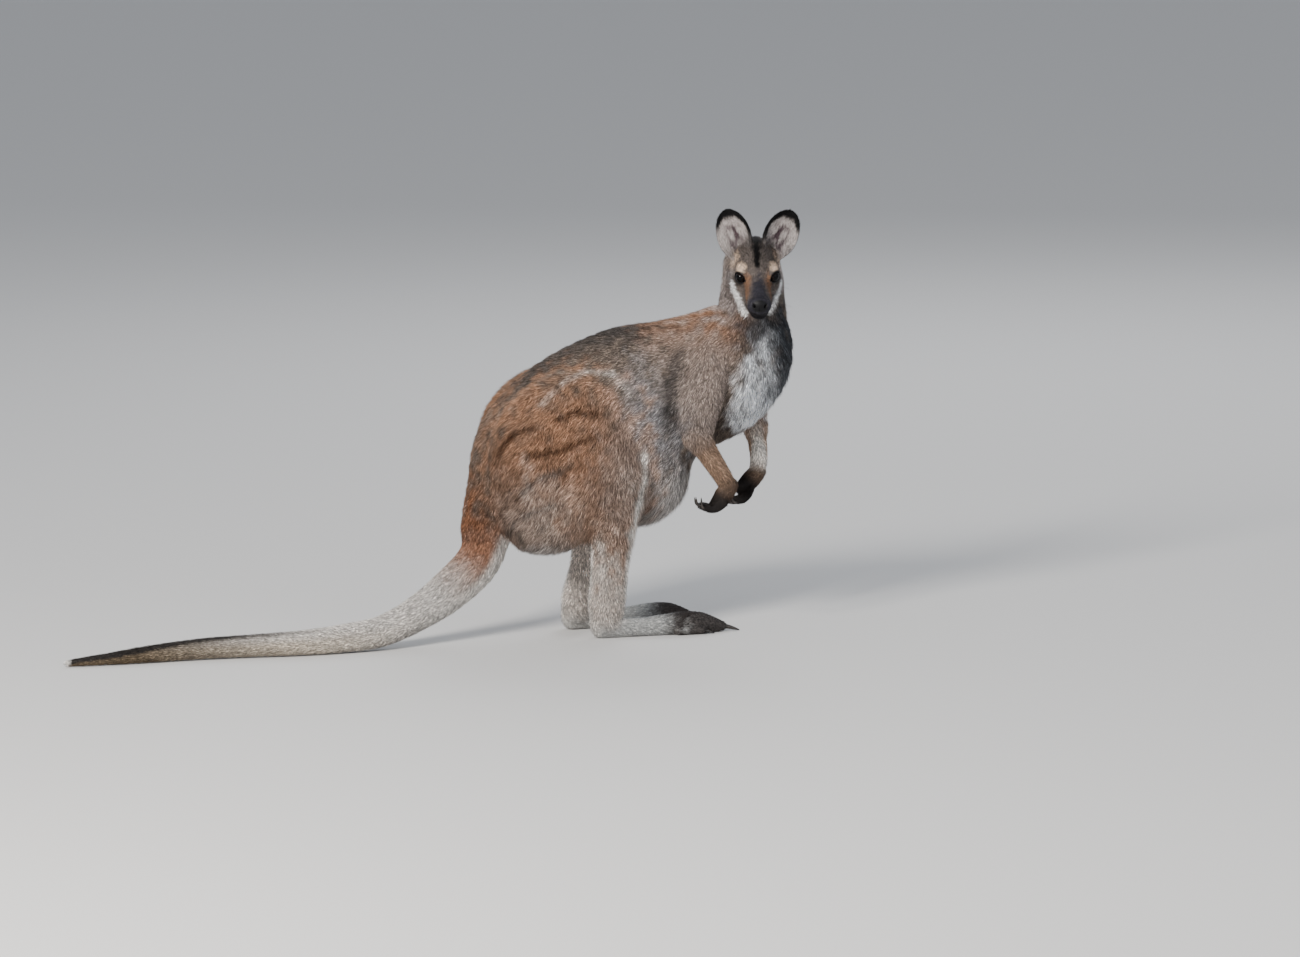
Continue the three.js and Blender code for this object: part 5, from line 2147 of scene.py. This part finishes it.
        store(mesh, "along", np.tile((0.0, 0.0, 0.0, 1.0), len(roots)))
        store(mesh, "chance", np.repeat(self.random.random(len(roots)), 4))
        self._lay_flat(mesh, unwrap(roots))
        new_piece(name, mesh, self.material[slot])

    @staticmethod
    def _outward(points: Array, faces: Array) -> Array:
        """Faces turned so that each tuft's own face out.

        Args:
            points: four corners for each tuft.
            faces: its four triangles.

        Returns:
            The triangles, in the right turn.
        """
        tufts = points[faces.reshape(-1, 4, 3)[:, 1]]
        middle = points.reshape(-1, 4, 3).mean(axis=1)
        facing = np.cross(tufts[:, 1] - tufts[:, 0], tufts[:, 2] - tufts[:, 0])
        wrong = np.sum(facing * (tufts[:, 0] - middle), axis=1) < 0
        turned = faces.reshape(-1, 4, 3)
        turned[wrong] = turned[wrong][:, :, ::-1]
        return turned.reshape(-1, 3)

    def _lay_flat(self, mesh: Mesh, spots: Array) -> None:
        """Gives each tuft a small patch of the map at its root's place.

        Args:
            mesh: the tufts' mesh.
            spots: each root's place on the map.
        """
        shape = np.array(((-0.5, -0.5), (0.5, -0.5), (0.0, 0.0), (0.0, 0.5))) * self.patch
        flat = (self.map_edge + (1 - 2 * self.map_edge) * np.clip(spots, 0, 1))[:, None] + shape
        corner = np.empty(len(mesh.loops), np.int32)
        mesh.loops.foreach_get("vertex_index", corner)
        layer = mesh.uv_layers.new(name="OFBake")
        layer.data.foreach_set("uv", flat.reshape(-1, 2)[corner].astype(np.float32).ravel())

    def build(self) -> None:
        """Grows every piece of the coat."""
        for name, (mine, unwrap, slot) in self._sections().items():
            self._grow(name, mine, unwrap, slot)


# ---- finishes
class NodeTree:
    """A node tree that is built in short steps."""

    def __init__(self, tree: bpy.types.NodeTree) -> None:
        """Clears the tree."""
        self.tree = tree
        tree.nodes.clear()

    def add(self, kind: str, inputs: Inputs | None = None, **settings: object) -> Node:
        """A new node.

        Args:
            kind: the node's type.
            inputs: for some inputs, by name or number, a fixed value or the socket that feeds it.
            settings: the node's own settings.

        Returns:
            The node.
        """
        node = self.tree.nodes.new(kind)
        for name, value in settings.items():
            setattr(node, name, value)
        for name, value in (inputs or {}).items():
            if isinstance(value, Socket):
                self.tree.links.new(value, node.inputs[name])
            else:
                node.inputs[name].default_value = (*value, 1.0) if isinstance(value, tuple) else value
        return node

    def mix(self, factor: object, first: object, second: object, blend: str = "MIX") -> Socket:
        """A mix of two colours."""
        inputs = {0: factor, 6: first, 7: second}
        return self.add("ShaderNodeMix", inputs, data_type="RGBA", blend_type=blend).outputs[2]

    def ramp(self, value: object, start: float, end: float, low: object = 0.0, high: object = 1.0) -> Socket:
        """A smooth step of a value."""
        inputs = dict(enumerate((value, start, end, low, high)))
        return self.add("ShaderNodeMapRange", inputs, interpolation_type="SMOOTHSTEP").outputs[0]

    def maths(self, operation: str, first: object, second: object) -> Socket:
        """Two values put together."""
        return self.add("ShaderNodeMath", {0: first, 1: second}, operation=operation).outputs[0]

    def grain(self, scale: float, detail: float = 2.0) -> Socket:
        """Noise on the object, to a scale."""
        inputs = {"Vector": self.place(), "Scale": scale, "Detail": detail}
        return self.add("ShaderNodeTexNoise", inputs).outputs[0]

    def place(self) -> Socket:
        """The place on the object."""
        return self.add("ShaderNodeTexCoord").outputs["Object"]

    def named(self, name: str, output: str = "Fac") -> Socket:
        """A stored value or colour of the mesh."""
        node = self.add("ShaderNodeAttribute", attribute_type="GEOMETRY", attribute_name=name)
        return node.outputs[output]


class Surface(NodeTree):
    """The tree of a new material."""

    def __init__(self, name: str) -> None:
        """Makes the material.

        Args:
            name: what it is called.
        """
        self.material = bpy.data.materials.new(name)
        self.material.use_nodes = True
        super().__init__(self.material.node_tree)

    def bump(self, height: Socket, strength: float, depth: float) -> Socket:
        """The surface's direction with a height's bumps, to a depth in metres."""
        inputs = {"Height": height, "Strength": strength, "Distance": depth}
        return self.add("ShaderNodeBump", inputs).outputs[0]

    def finished(self, base: object, roughness: object, specular: float = 0.5, **others: object) -> Material:
        """The material, with its shader's inputs.

        Args:
            base: its colour, or the socket that gives it.
            roughness: its roughness, or the socket that gives it.
            specular: how strongly it shines.
            others: the shader's other inputs.

        Returns:
            The finished material.
        """
        inputs = {"Base Color": base, "Roughness": roughness, "Specular IOR Level": specular, **others}
        shader = self.add("ShaderNodeBsdfPrincipled", inputs)
        self.add("ShaderNodeOutputMaterial", {"Surface": shader.outputs[0]})
        return self.material


class SharedTree:
    """A node tree that several finishes or pieces share."""

    name: str

    @classmethod
    def tree(cls) -> bpy.types.NodeTree:
        """The tree, made once."""
        return bpy.data.node_groups.get(cls.name) or cls._made()

    @classmethod
    def _made(cls) -> bpy.types.NodeTree:
        """Builds the tree."""
        raise NotImplementedError


class GrizzleGroup(SharedTree):
    """The banding of single hairs: a dark root, and here and there a black or a pale tip."""

    name = "hair_banding"
    inputs = ("Along", "Chance", "Root Shade", "Dark Share", "Dark Tip", "Pale Share", "Pale Tip")

    @classmethod
    def _made(cls) -> bpy.types.NodeTree:
        """Builds the group.

        Returns:
            The group.
        """
        group = bpy.data.node_groups.new(cls.name, "ShaderNodeTree")
        group.interface.new_socket("Tint", in_out="INPUT", socket_type="NodeSocketColor")
        for name in cls.inputs:
            group.interface.new_socket(name, in_out="INPUT", socket_type="NodeSocketFloat")
        group.interface.new_socket("Color", in_out="OUTPUT", socket_type="NodeSocketColor")
        build = NodeTree(group)
        source = build.add("NodeGroupInput").outputs
        along, chance = source["Along"], source["Chance"]
        shade = build.ramp(along, 0.0, 0.6, source["Root Shade"], 1.0)
        dark_hair = build.maths("LESS_THAN", chance, source["Dark Share"])
        dark = build.maths("MULTIPLY", dark_hair, build.ramp(along, 0.3, 0.75))
        pale_hair = build.maths("GREATER_THAN", chance, build.maths("SUBTRACT", 1.0, source["Pale Share"]))
        pale = build.maths("MULTIPLY", pale_hair, build.ramp(along, 0.25, 0.6))
        shade = build.ramp(dark, 0.0, 1.0, shade, build.maths("MULTIPLY", shade, source["Dark Tip"]))
        shade = build.ramp(pale, 0.0, 1.0, shade, source["Pale Tip"])
        scaled = build.add("ShaderNodeVectorMath", {0: source["Tint"], "Scale": shade}, operation="SCALE")
        build.add("NodeGroupOutput", {"Color": scaled.outputs[0]})
        return group


@dataclass(frozen=True)
class FurFinish:
    """Fur: how its hairs are banded and how it takes the light."""

    name: str
    root_shade: float
    dark_share: float
    dark_tip: float
    pale_share: float
    pale_tip: float
    roughness: float = 0.62
    specular: float = 0.14

    def material(self) -> Material:
        """The finish as a material.

        Returns:
            The new material.
        """
        build = Surface(self.name)
        inputs = {
            "Tint": build.named("tint", "Color"),
            "Along": build.named("along"),
            "Chance": build.named("chance"),
            "Root Shade": self.root_shade,
            "Dark Share": self.dark_share,
            "Dark Tip": self.dark_tip,
            "Pale Share": self.pale_share,
            "Pale Tip": self.pale_tip,
        }
        band = build.add("ShaderNodeGroup", inputs, node_tree=GrizzleGroup.tree())
        return build.finished(band.outputs["Color"], self.roughness, self.specular)


@dataclass(frozen=True)
class SkinFinish:
    """Skin under the coat, and bare, pebbled and damp on the nose and the lids."""

    name: str = "skin"
    shade: float = 0.55
    mottle_scale: float = 420.0
    hair_scale: float = 900.0
    pebble_scale: float = 1100.0
    dry: float = 0.75
    damp: float = 0.46
    specular: float = 0.2
    bump: float = 0.5
    depth: float = 0.0006  # of the bumps, in metres

    def material(self) -> Material:
        """The finish as a material.

        Returns:
            The new material.
        """
        build = Surface(self.name)
        tint, bare = build.named("tint", "Color"), build.named("bare")
        shaded = build.mix(1.0, tint, (self.shade,) * 3, "MULTIPLY")
        under = build.mix(build.ramp(build.grain(self.mottle_scale), 0.3, 0.7), tint, shaded)
        inputs = {"Vector": build.place(), "Scale": self.pebble_scale}
        pebbles = build.add("ShaderNodeTexVoronoi", inputs, feature="SMOOTH_F1")
        height = build.mix(bare, build.grain(self.hair_scale), pebbles.outputs[0])
        bump = build.bump(height, self.bump, self.depth)
        roughness = build.ramp(bare, 0.0, 1.0, self.dry, self.damp)
        return build.finished(build.mix(bare, under, tint), roughness, self.specular, Normal=bump)


@dataclass(frozen=True)
class HornFinish:
    """Dark horn with a fine lengthwise grain."""

    name: str = "claw_horn"
    dark: Triple = colour("14100e")
    light: Triple = colour("3a322c")
    scale: float = 420.0
    detail: float = 4.0
    roughness: float = 0.32
    bump: float = 0.25
    depth: float = 0.0003  # of the bumps, in metres

    def material(self) -> Material:
        """The finish as a material.

        Returns:
            The new material.
        """
        build = Surface(self.name)
        grain = build.grain(self.scale, self.detail)
        base = build.mix(build.ramp(grain, 0.35, 0.7), self.dark, self.light)
        return build.finished(base, self.roughness, Normal=build.bump(grain, self.bump, self.depth))


@dataclass(frozen=True)
class EyeFinish:
    """A wet dark eye: a black pupil in a deep brown iris."""

    name: str = "eye"
    pupil: Triple = colour("020203")
    iris: Triple = colour("120a07")
    white: Triple = colour("080606")
    roughness: float = 0.08
    specular: float = 0.12

    def material(self) -> Material:
        """The finish as a material.

        Returns:
            The new material.
        """
        build = Surface(self.name)
        ring = build.named("ring")
        inner = build.mix(build.ramp(ring, 0.6, 0.72), self.pupil, self.iris)
        outer = build.mix(build.ramp(ring, 0.86, 0.98), inner, self.white)
        return build.finished(outer, self.roughness, self.specular)


FURS = {
    "grey_coat": FurFinish("grey_fur", 0.42, 0.3, 0.28, 0.32, 2.2),
    "rufous_coat": FurFinish("rufous_fur", 0.42, 0.24, 0.35, 0.22, 1.8),
    "pale_coat": FurFinish("pale_fur", 0.6, 0.15, 0.45, 0.3, 1.5),
    "dark_coat": FurFinish("dark_fur", 0.5, 0.3, 0.5, 0.12, 1.8),
}


# ---- eyes, claws, whiskers
@dataclass
class Eyes:
    """Two eyeballs with a bulging cornea."""

    anatomy: Anatomy
    around: int = 48
    rings: int = 32
    cornea: float = 0.9  # how far the cornea stands out, in mm
    cornea_angle: float = 46.0
    flat_angle: float = 12.0  # the cornea's middle, where it stands out in full
    beyond: float = 2.0  # the ring value of everything past the white's rim

    def build(self, material: Material) -> None:
        """Makes both eyes.

        Args:
            material: the eye's finish.
        """
        for side in SIDES:
            opening = self.anatomy.openings[side]
            points, ring = [opening.centre + opening.out * (EYE_RADIUS + self.cornea)], [0.0]
            for i in range(1, self.rings):
                away = math.pi * i / self.rings
                angle = math.degrees(away)
                bulge = self.cornea * float(1.0 - eased(np.array(angle), self.flat_angle, self.cornea_angle))
                for j in range(self.around):
                    turn = 2 * math.pi * j / self.around
                    flat = opening.inner * math.cos(turn) + opening.over * math.sin(turn)
                    way = opening.out * math.cos(away) + flat * math.sin(away)
                    points.append(opening.centre + way * (EYE_RADIUS + bulge))
                    ring.append(min(angle / self.cornea_angle, self.beyond))
            points.append(opening.centre - opening.out * EYE_RADIUS)
            ring.append(self.beyond)
            mesh = new_mesh(f"eyeball_{side}", np.array(points), self._faces())
            store(mesh, "ring", np.array(ring))
            piece = new_piece(f"eyeball_{side}", mesh, material)
            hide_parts(f"eye_{side}")

    def _faces(self) -> tuple[Array, Array]:
        """The triangles at the poles and the quads between them.

        Returns:
            The triangles and the quads.
        """
        j = np.arange(self.around)
        k = (j + 1) % self.around
        last = 1 + (self.rings - 1) * self.around
        front = np.stack((np.zeros_like(j), 1 + j, 1 + k), axis=1)
        back = np.stack((np.full_like(j, last), last - self.around + k, last - self.around + j), axis=1)
        quads = []
        for i in range(self.rings - 2):
            here, there = 1 + i * self.around, 1 + (i + 1) * self.around
            quads.append(np.stack((here + j, there + j, there + k, here + k), axis=1))
        return np.vstack((front, back)), np.vstack(quads)


class TaperTree(SharedTree):
    """Geometry nodes that turn lines into tapering round horns or bristles."""

    name = "tapering_horn"
    past_tip = 1.02  # where along the horn its radius would come down to nothing
    inputs = (
        ("Base", "NodeSocketGeometry"),
        ("Sides", "NodeSocketInt"),
        ("Lengths", "NodeSocketInt"),
        ("Bluntness", "NodeSocketFloat"),
        ("Finish", "NodeSocketMaterial"),
    )

    @classmethod
    def _made(cls) -> bpy.types.NodeTree:
        """Builds the tree.

        Returns:
            The tree.
        """
        group = bpy.data.node_groups.new(cls.name, "GeometryNodeTree")
        for name, kind in cls.inputs:
            group.interface.new_socket(name, in_out="INPUT", socket_type=kind)
        group.interface.new_socket("Horn", in_out="OUTPUT", socket_type="NodeSocketGeometry")
        build = NodeTree(group)
        source = build.add("NodeGroupInput").outputs
        line = build.add("GeometryNodeMeshToCurve", {0: source["Base"]})
        smooth = build.add("GeometryNodeCurveSplineType", {0: line.outputs[0]}, spline_type="CATMULL_ROM")
        count = {"Curve": smooth.outputs[0], "Count": source["Lengths"]}
        even = build.add("GeometryNodeResampleCurve", count, mode="COUNT")
        thickness = build.add("GeometryNodeInputNamedAttribute", {"Name": "thickness"}, data_type="FLOAT")
        along = build.add("GeometryNodeSplineParameter").outputs["Factor"]
        left = build.maths("SUBTRACT", cls.past_tip, along)
        taper = build.maths("MULTIPLY", build.maths("POWER", left, source["Bluntness"]), thickness.outputs[0])
        radius = build.add("GeometryNodeSetCurveRadius", {"Curve": even.outputs[0], "Radius": taper})
        size = {"Resolution": source["Sides"], "Radius": 1.0}
        ring = build.add("GeometryNodeCurvePrimitiveCircle", size, mode="RADIUS")
        curves = {"Curve": radius.outputs[0], "Profile Curve": ring.outputs[0], "Fill Caps": True}
        skin = build.add("GeometryNodeCurveToMesh", curves)
        if "Scale" in skin.inputs:
            build.tree.links.new(build.add("GeometryNodeInputRadius").outputs[0], skin.inputs["Scale"])
        real = build.add("GeometryNodeRealizeInstances", {0: skin.outputs[0]})
        dressed = build.add("GeometryNodeSetMaterial", {0: real.outputs[0], "Material": source["Finish"]})
        build.add("NodeGroupOutput", {0: dressed.outputs[0]})
        return group


@dataclass(frozen=True)
class Taper:
    """The form of horns or bristles: corners of the section, points along each, and 1 for a straight cone."""

    sides: int
    lengths: int
    bluntness: float

    def grown(
        self, name: str, lines: Sequence[Array], thickness: Sequence[float], material: Material
    ) -> Object:
        """A piece of horns or bristles along lines.

        Args:
            name: the piece's name.
            lines: each one's places in the body's millimetres, root first.
            thickness: each one's radius at its root in millimetres.
            material: the finish.

        Returns:
            The finished piece.
        """
        start = bpy.data.meshes.new(name + "_lines")
        counts = [len(line) for line in lines]
        ends = np.cumsum(counts)
        edges = [(i, i + 1) for end, count in zip(ends, counts) for i in range(end - count, end - 1)]
        start.from_pydata(in_frame(np.vstack(lines)).tolist(), edges, [])
        store(start, "thickness", np.repeat(np.asarray(thickness) * MM, counts))
        carrier = bpy.data.objects.new(name + "_carrier", start)
        bpy.context.scene.collection.objects.link(carrier)
        modifier = carrier.modifiers.new("horn", "NODES")
        modifier.node_group = TaperTree.tree()
        given = {name.capitalize(): value for name, value in vars(self).items()} | {"Finish": material}
        for item in modifier.node_group.interface.items_tree:
            if item.name in given:
                modifier[item.identifier] = given[item.name]
        carrier.update_tag()
        graph = bpy.context.evaluated_depsgraph_get()
        mesh = bpy.data.meshes.new_from_object(carrier.evaluated_get(graph), depsgraph=graph)
        mesh.name = name
        mesh.materials.clear()
        mesh.polygons.foreach_set("use_smooth", np.ones(len(mesh.polygons), bool))
        bpy.data.objects.remove(carrier)
        return new_piece(name, mesh, material)


@dataclass
class Claws:
    """The claws of hands and feet, each grown along its own line."""

    anatomy: Anatomy
    form: Taper = Taper(14, 14, 0.55)
    finger_radius: float = FINGER_CLAW[0][2] * 0.85

    def _foot_line(self, side: str, toe: Toe) -> Array:
        """A hind claw's line, from inside the toe to its point.

        Args:
            side: which foot.
            toe: the toe it grows from.

        Returns:
            The line's places.
        """
        places = []
        for t in (0.0, 0.35, 0.7, 1.0):
            thick = toe.claw_radius * math.sqrt(1 - 0.985 * t)
            height = max(toe.radius + (1.2 - toe.radius) * t**1.5, thick)
            along = toe.end - 0.4 * toe.radius + t * (0.8 * toe.radius + toe.claw)
            places.append(on_foot(side, along, toe.out * 1.12, height))
        return np.array(places)

    def build(self, material: Material) -> None:
        """Makes every claw.

        Args:
            material: the horn.
        """
        for side in SIDES:
            for toe in TOES:
                self._claw(f"foot_{side}_{toe.name}", self._foot_line(side, toe), toe.claw_radius, material)
            for finger in FINGERS:
                rows = self.anatomy.finger_rows(side, finger, FINGER_CLAW)
                places = np.array([row[:3] for row in rows])
                self._claw(f"hand_{side}_{finger}", places, self.finger_radius, material)

    def _claw(self, name: str, line: Array, radius: float, material: Material) -> None:
        """Makes one claw."""
        piece = self.form.grown(f"horn_{name}", [line], [radius], material)
        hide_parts(f"claw_{name}")


@dataclass(frozen=True)
class Bed:
    """A bed of whiskers: its middle and spread ahead and up, and the bristles' way, length and number."""

    at: Pair
    spread: Pair
    way: Triple
    length: float
    count: int


@dataclass
class Whiskers:
    """Long stiff bristles on the muzzle, chin, cheeks and brows."""

    anatomy: Anatomy
    seed: int = 7
    radius: float = 0.12
    stray: float = 0.16
    lengths: Pair = (0.6, 1.1)
    form: Taper = Taper(5, 8, 0.8)
    beds: tuple[Bed, ...] = (
        Bed((58, -12), (12, 7), (0.1, 0.95, -0.25), 34, 16),
        Bed((66, -34), (8, 3), (0.25, 0.4, -0.9), 14, 6),
        Bed((14, 22), (5, 2), (0.5, 0.3, 0.85), 20, 3),
        Bed((-4, -16), (4, 4), (-0.1, 0.9, -0.3), 22, 3),
    )

    def build(self, material: Material) -> None:
        """Makes the whiskers as one piece.

        Args:
            material: the horn.
        """
        random = np.random.default_rng(self.seed)
        lines = []
        for sign in SIDES.values():
            for bed in self.beds:
                for _ in range(bed.count):
                    ahead, up = [at + random.uniform(-by, by) for at, by in zip(bed.at, bed.spread)]
                    root = drawn_to(self.anatomy.skull, in_head(ahead, 0, up), in_head(ahead, sign * 60, up))
                    bent = np.array(bed.way) + random.normal(0, self.stray, 3)
                    lines.append(self._bristle(root, sign, bent, bed.length * random.uniform(*self.lengths)))
        self.form.grown("whiskers", lines, [self.radius] * len(lines), material)

    @staticmethod
    def _bristle(root: Array, sign: int, way: Array, reach: float) -> Array:
        """One bristle's line: out, then bent back and down.

        Args:
            root: where it starts.
            sign: 1 or -1, for the side of the head.
            way: where it points.
            reach: how far out it goes, in mm.

        Returns:
            Its corners from root to tip.
        """
        out = HEAD_AXES.vector((way[0], sign * way[1], way[2]))
        back = HEAD_AXES.vector((-0.5, 0.0, -0.35))
        return np.array([root + out * reach * t + back * reach * t * t for t in (-0.03, 0.3, 0.65, 1.0)])


# ---- stage
@dataclass
class Stage:
    """The floor, the light and the camera."""

    camera_place: Triple = (80.05, -11883.2, 1903.1)
    elevation: float = 8.0
    roll: float = 1.2
    focal_pixels: float = 8000.0
    picture_width: float = 1300.0
    sensor: float = 36.0
    floor_size: float = 60.0
    floor_colour: Triple = (0.62, 0.61, 0.6)
    floor_roughness: float = 0.85
    target: Triple = (0.1, 0.0, 0.3)
    sky: Triple = (0.82, 0.87, 0.95)
    sky_strength: float = 0.55

    def build(self) -> None:
        """Makes them all."""
        self._camera()
        self._floor()
        self._lights()

    def _camera(self) -> None:
        """The camera, far off with a long lens."""
        e, r = math.radians(self.elevation), math.radians(self.roll)
        level_right, level_up = np.array((1.0, 0, 0)), np.array((0, math.sin(e), math.cos(e)))
        back = -np.array((0, math.cos(e), -math.sin(e)))
        right = math.cos(r) * level_right - math.sin(r) * level_up
        up = math.sin(r) * level_right + math.cos(r) * level_up
        data = bpy.data.cameras.new("camera")
        data.sensor_fit = "HORIZONTAL"
        data.sensor_width = self.sensor
        data.lens = self.focal_pixels / self.picture_width * self.sensor
        data.clip_end = 200.0
        camera = bpy.data.objects.new("camera", data)
        turn = Matrix([Vector(row) for row in np.stack((right, up, back), axis=1)]).to_4x4()
        camera.matrix_world = Matrix.Translation(Vector(in_frame(np.asarray(self.camera_place)))) @ turn
        bpy.context.scene.collection.objects.link(camera)
        bpy.context.scene.camera = camera

    def _floor(self) -> None:
        """A pale floor that reaches past the frame."""
        half = self.floor_size / 2 / MM
        corners = np.array(((-1, -1, 0), (1, -1, 0), (1, 1, 0), (-1, 1, 0))) * half + ORIGIN
        mesh = new_mesh("floor", corners, (np.array([[0, 1, 2, 3]]),))
        mesh.materials.append(Surface("pale_floor").finished(self.floor_colour, self.floor_roughness))
        floor = bpy.data.objects.new("floor", mesh)
        bpy.context.scene.collection.objects.link(floor)

    def _lights(self) -> None:
        """A large key light from the camera's left, a fill from its right and an even surround."""
        lamps = (
            ("key", (-2.3, -4.2, 2.9), 1.5, 480.0, (1.0, 0.965, 0.91)),
            ("fill", (3.4, -3.0, 1.6), 3.0, 45.0, (0.88, 0.94, 1.0)),
            ("back", (1.2, 3.6, 3.0), 2.4, 70.0, (0.95, 0.97, 1.0)),
        )
        for name, place, size, power, tint in lamps:
            data = bpy.data.lights.new(name, "AREA")
            data.size = size
            data.energy = power
            data.color = tint
            lamp = bpy.data.objects.new(name, data)
            lamp.location = place
            lamp.rotation_euler = (Vector(place) - Vector(self.target)).to_track_quat("Z", "Y").to_euler()
            bpy.context.scene.collection.objects.link(lamp)
        world = bpy.data.worlds.new("surround")
        world.use_nodes = True
        background = world.node_tree.nodes["Background"]
        background.inputs["Color"].default_value = (*self.sky, 1.0)
        background.inputs["Strength"].default_value = self.sky_strength
        bpy.context.scene.world = world


def main() -> None:
    """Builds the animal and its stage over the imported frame."""
    logging.basicConfig(level=logging.INFO, format="%(name)s: %(message)s")
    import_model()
    Stage().build()
    anatomy = Anatomy()
    skin = Skin(anatomy)
    hide = skin.build()
    skin.dress(hide, SkinFinish().material())
    Coat(anatomy, hide, {slot: fur.material() for slot, fur in FURS.items()}).build()
    Eyes(anatomy).build(EyeFinish().material())
    horn = HornFinish().material()
    Claws(anatomy).build(horn)
    Whiskers(anatomy).build(horn)


if __name__ == "__main__":
    main()
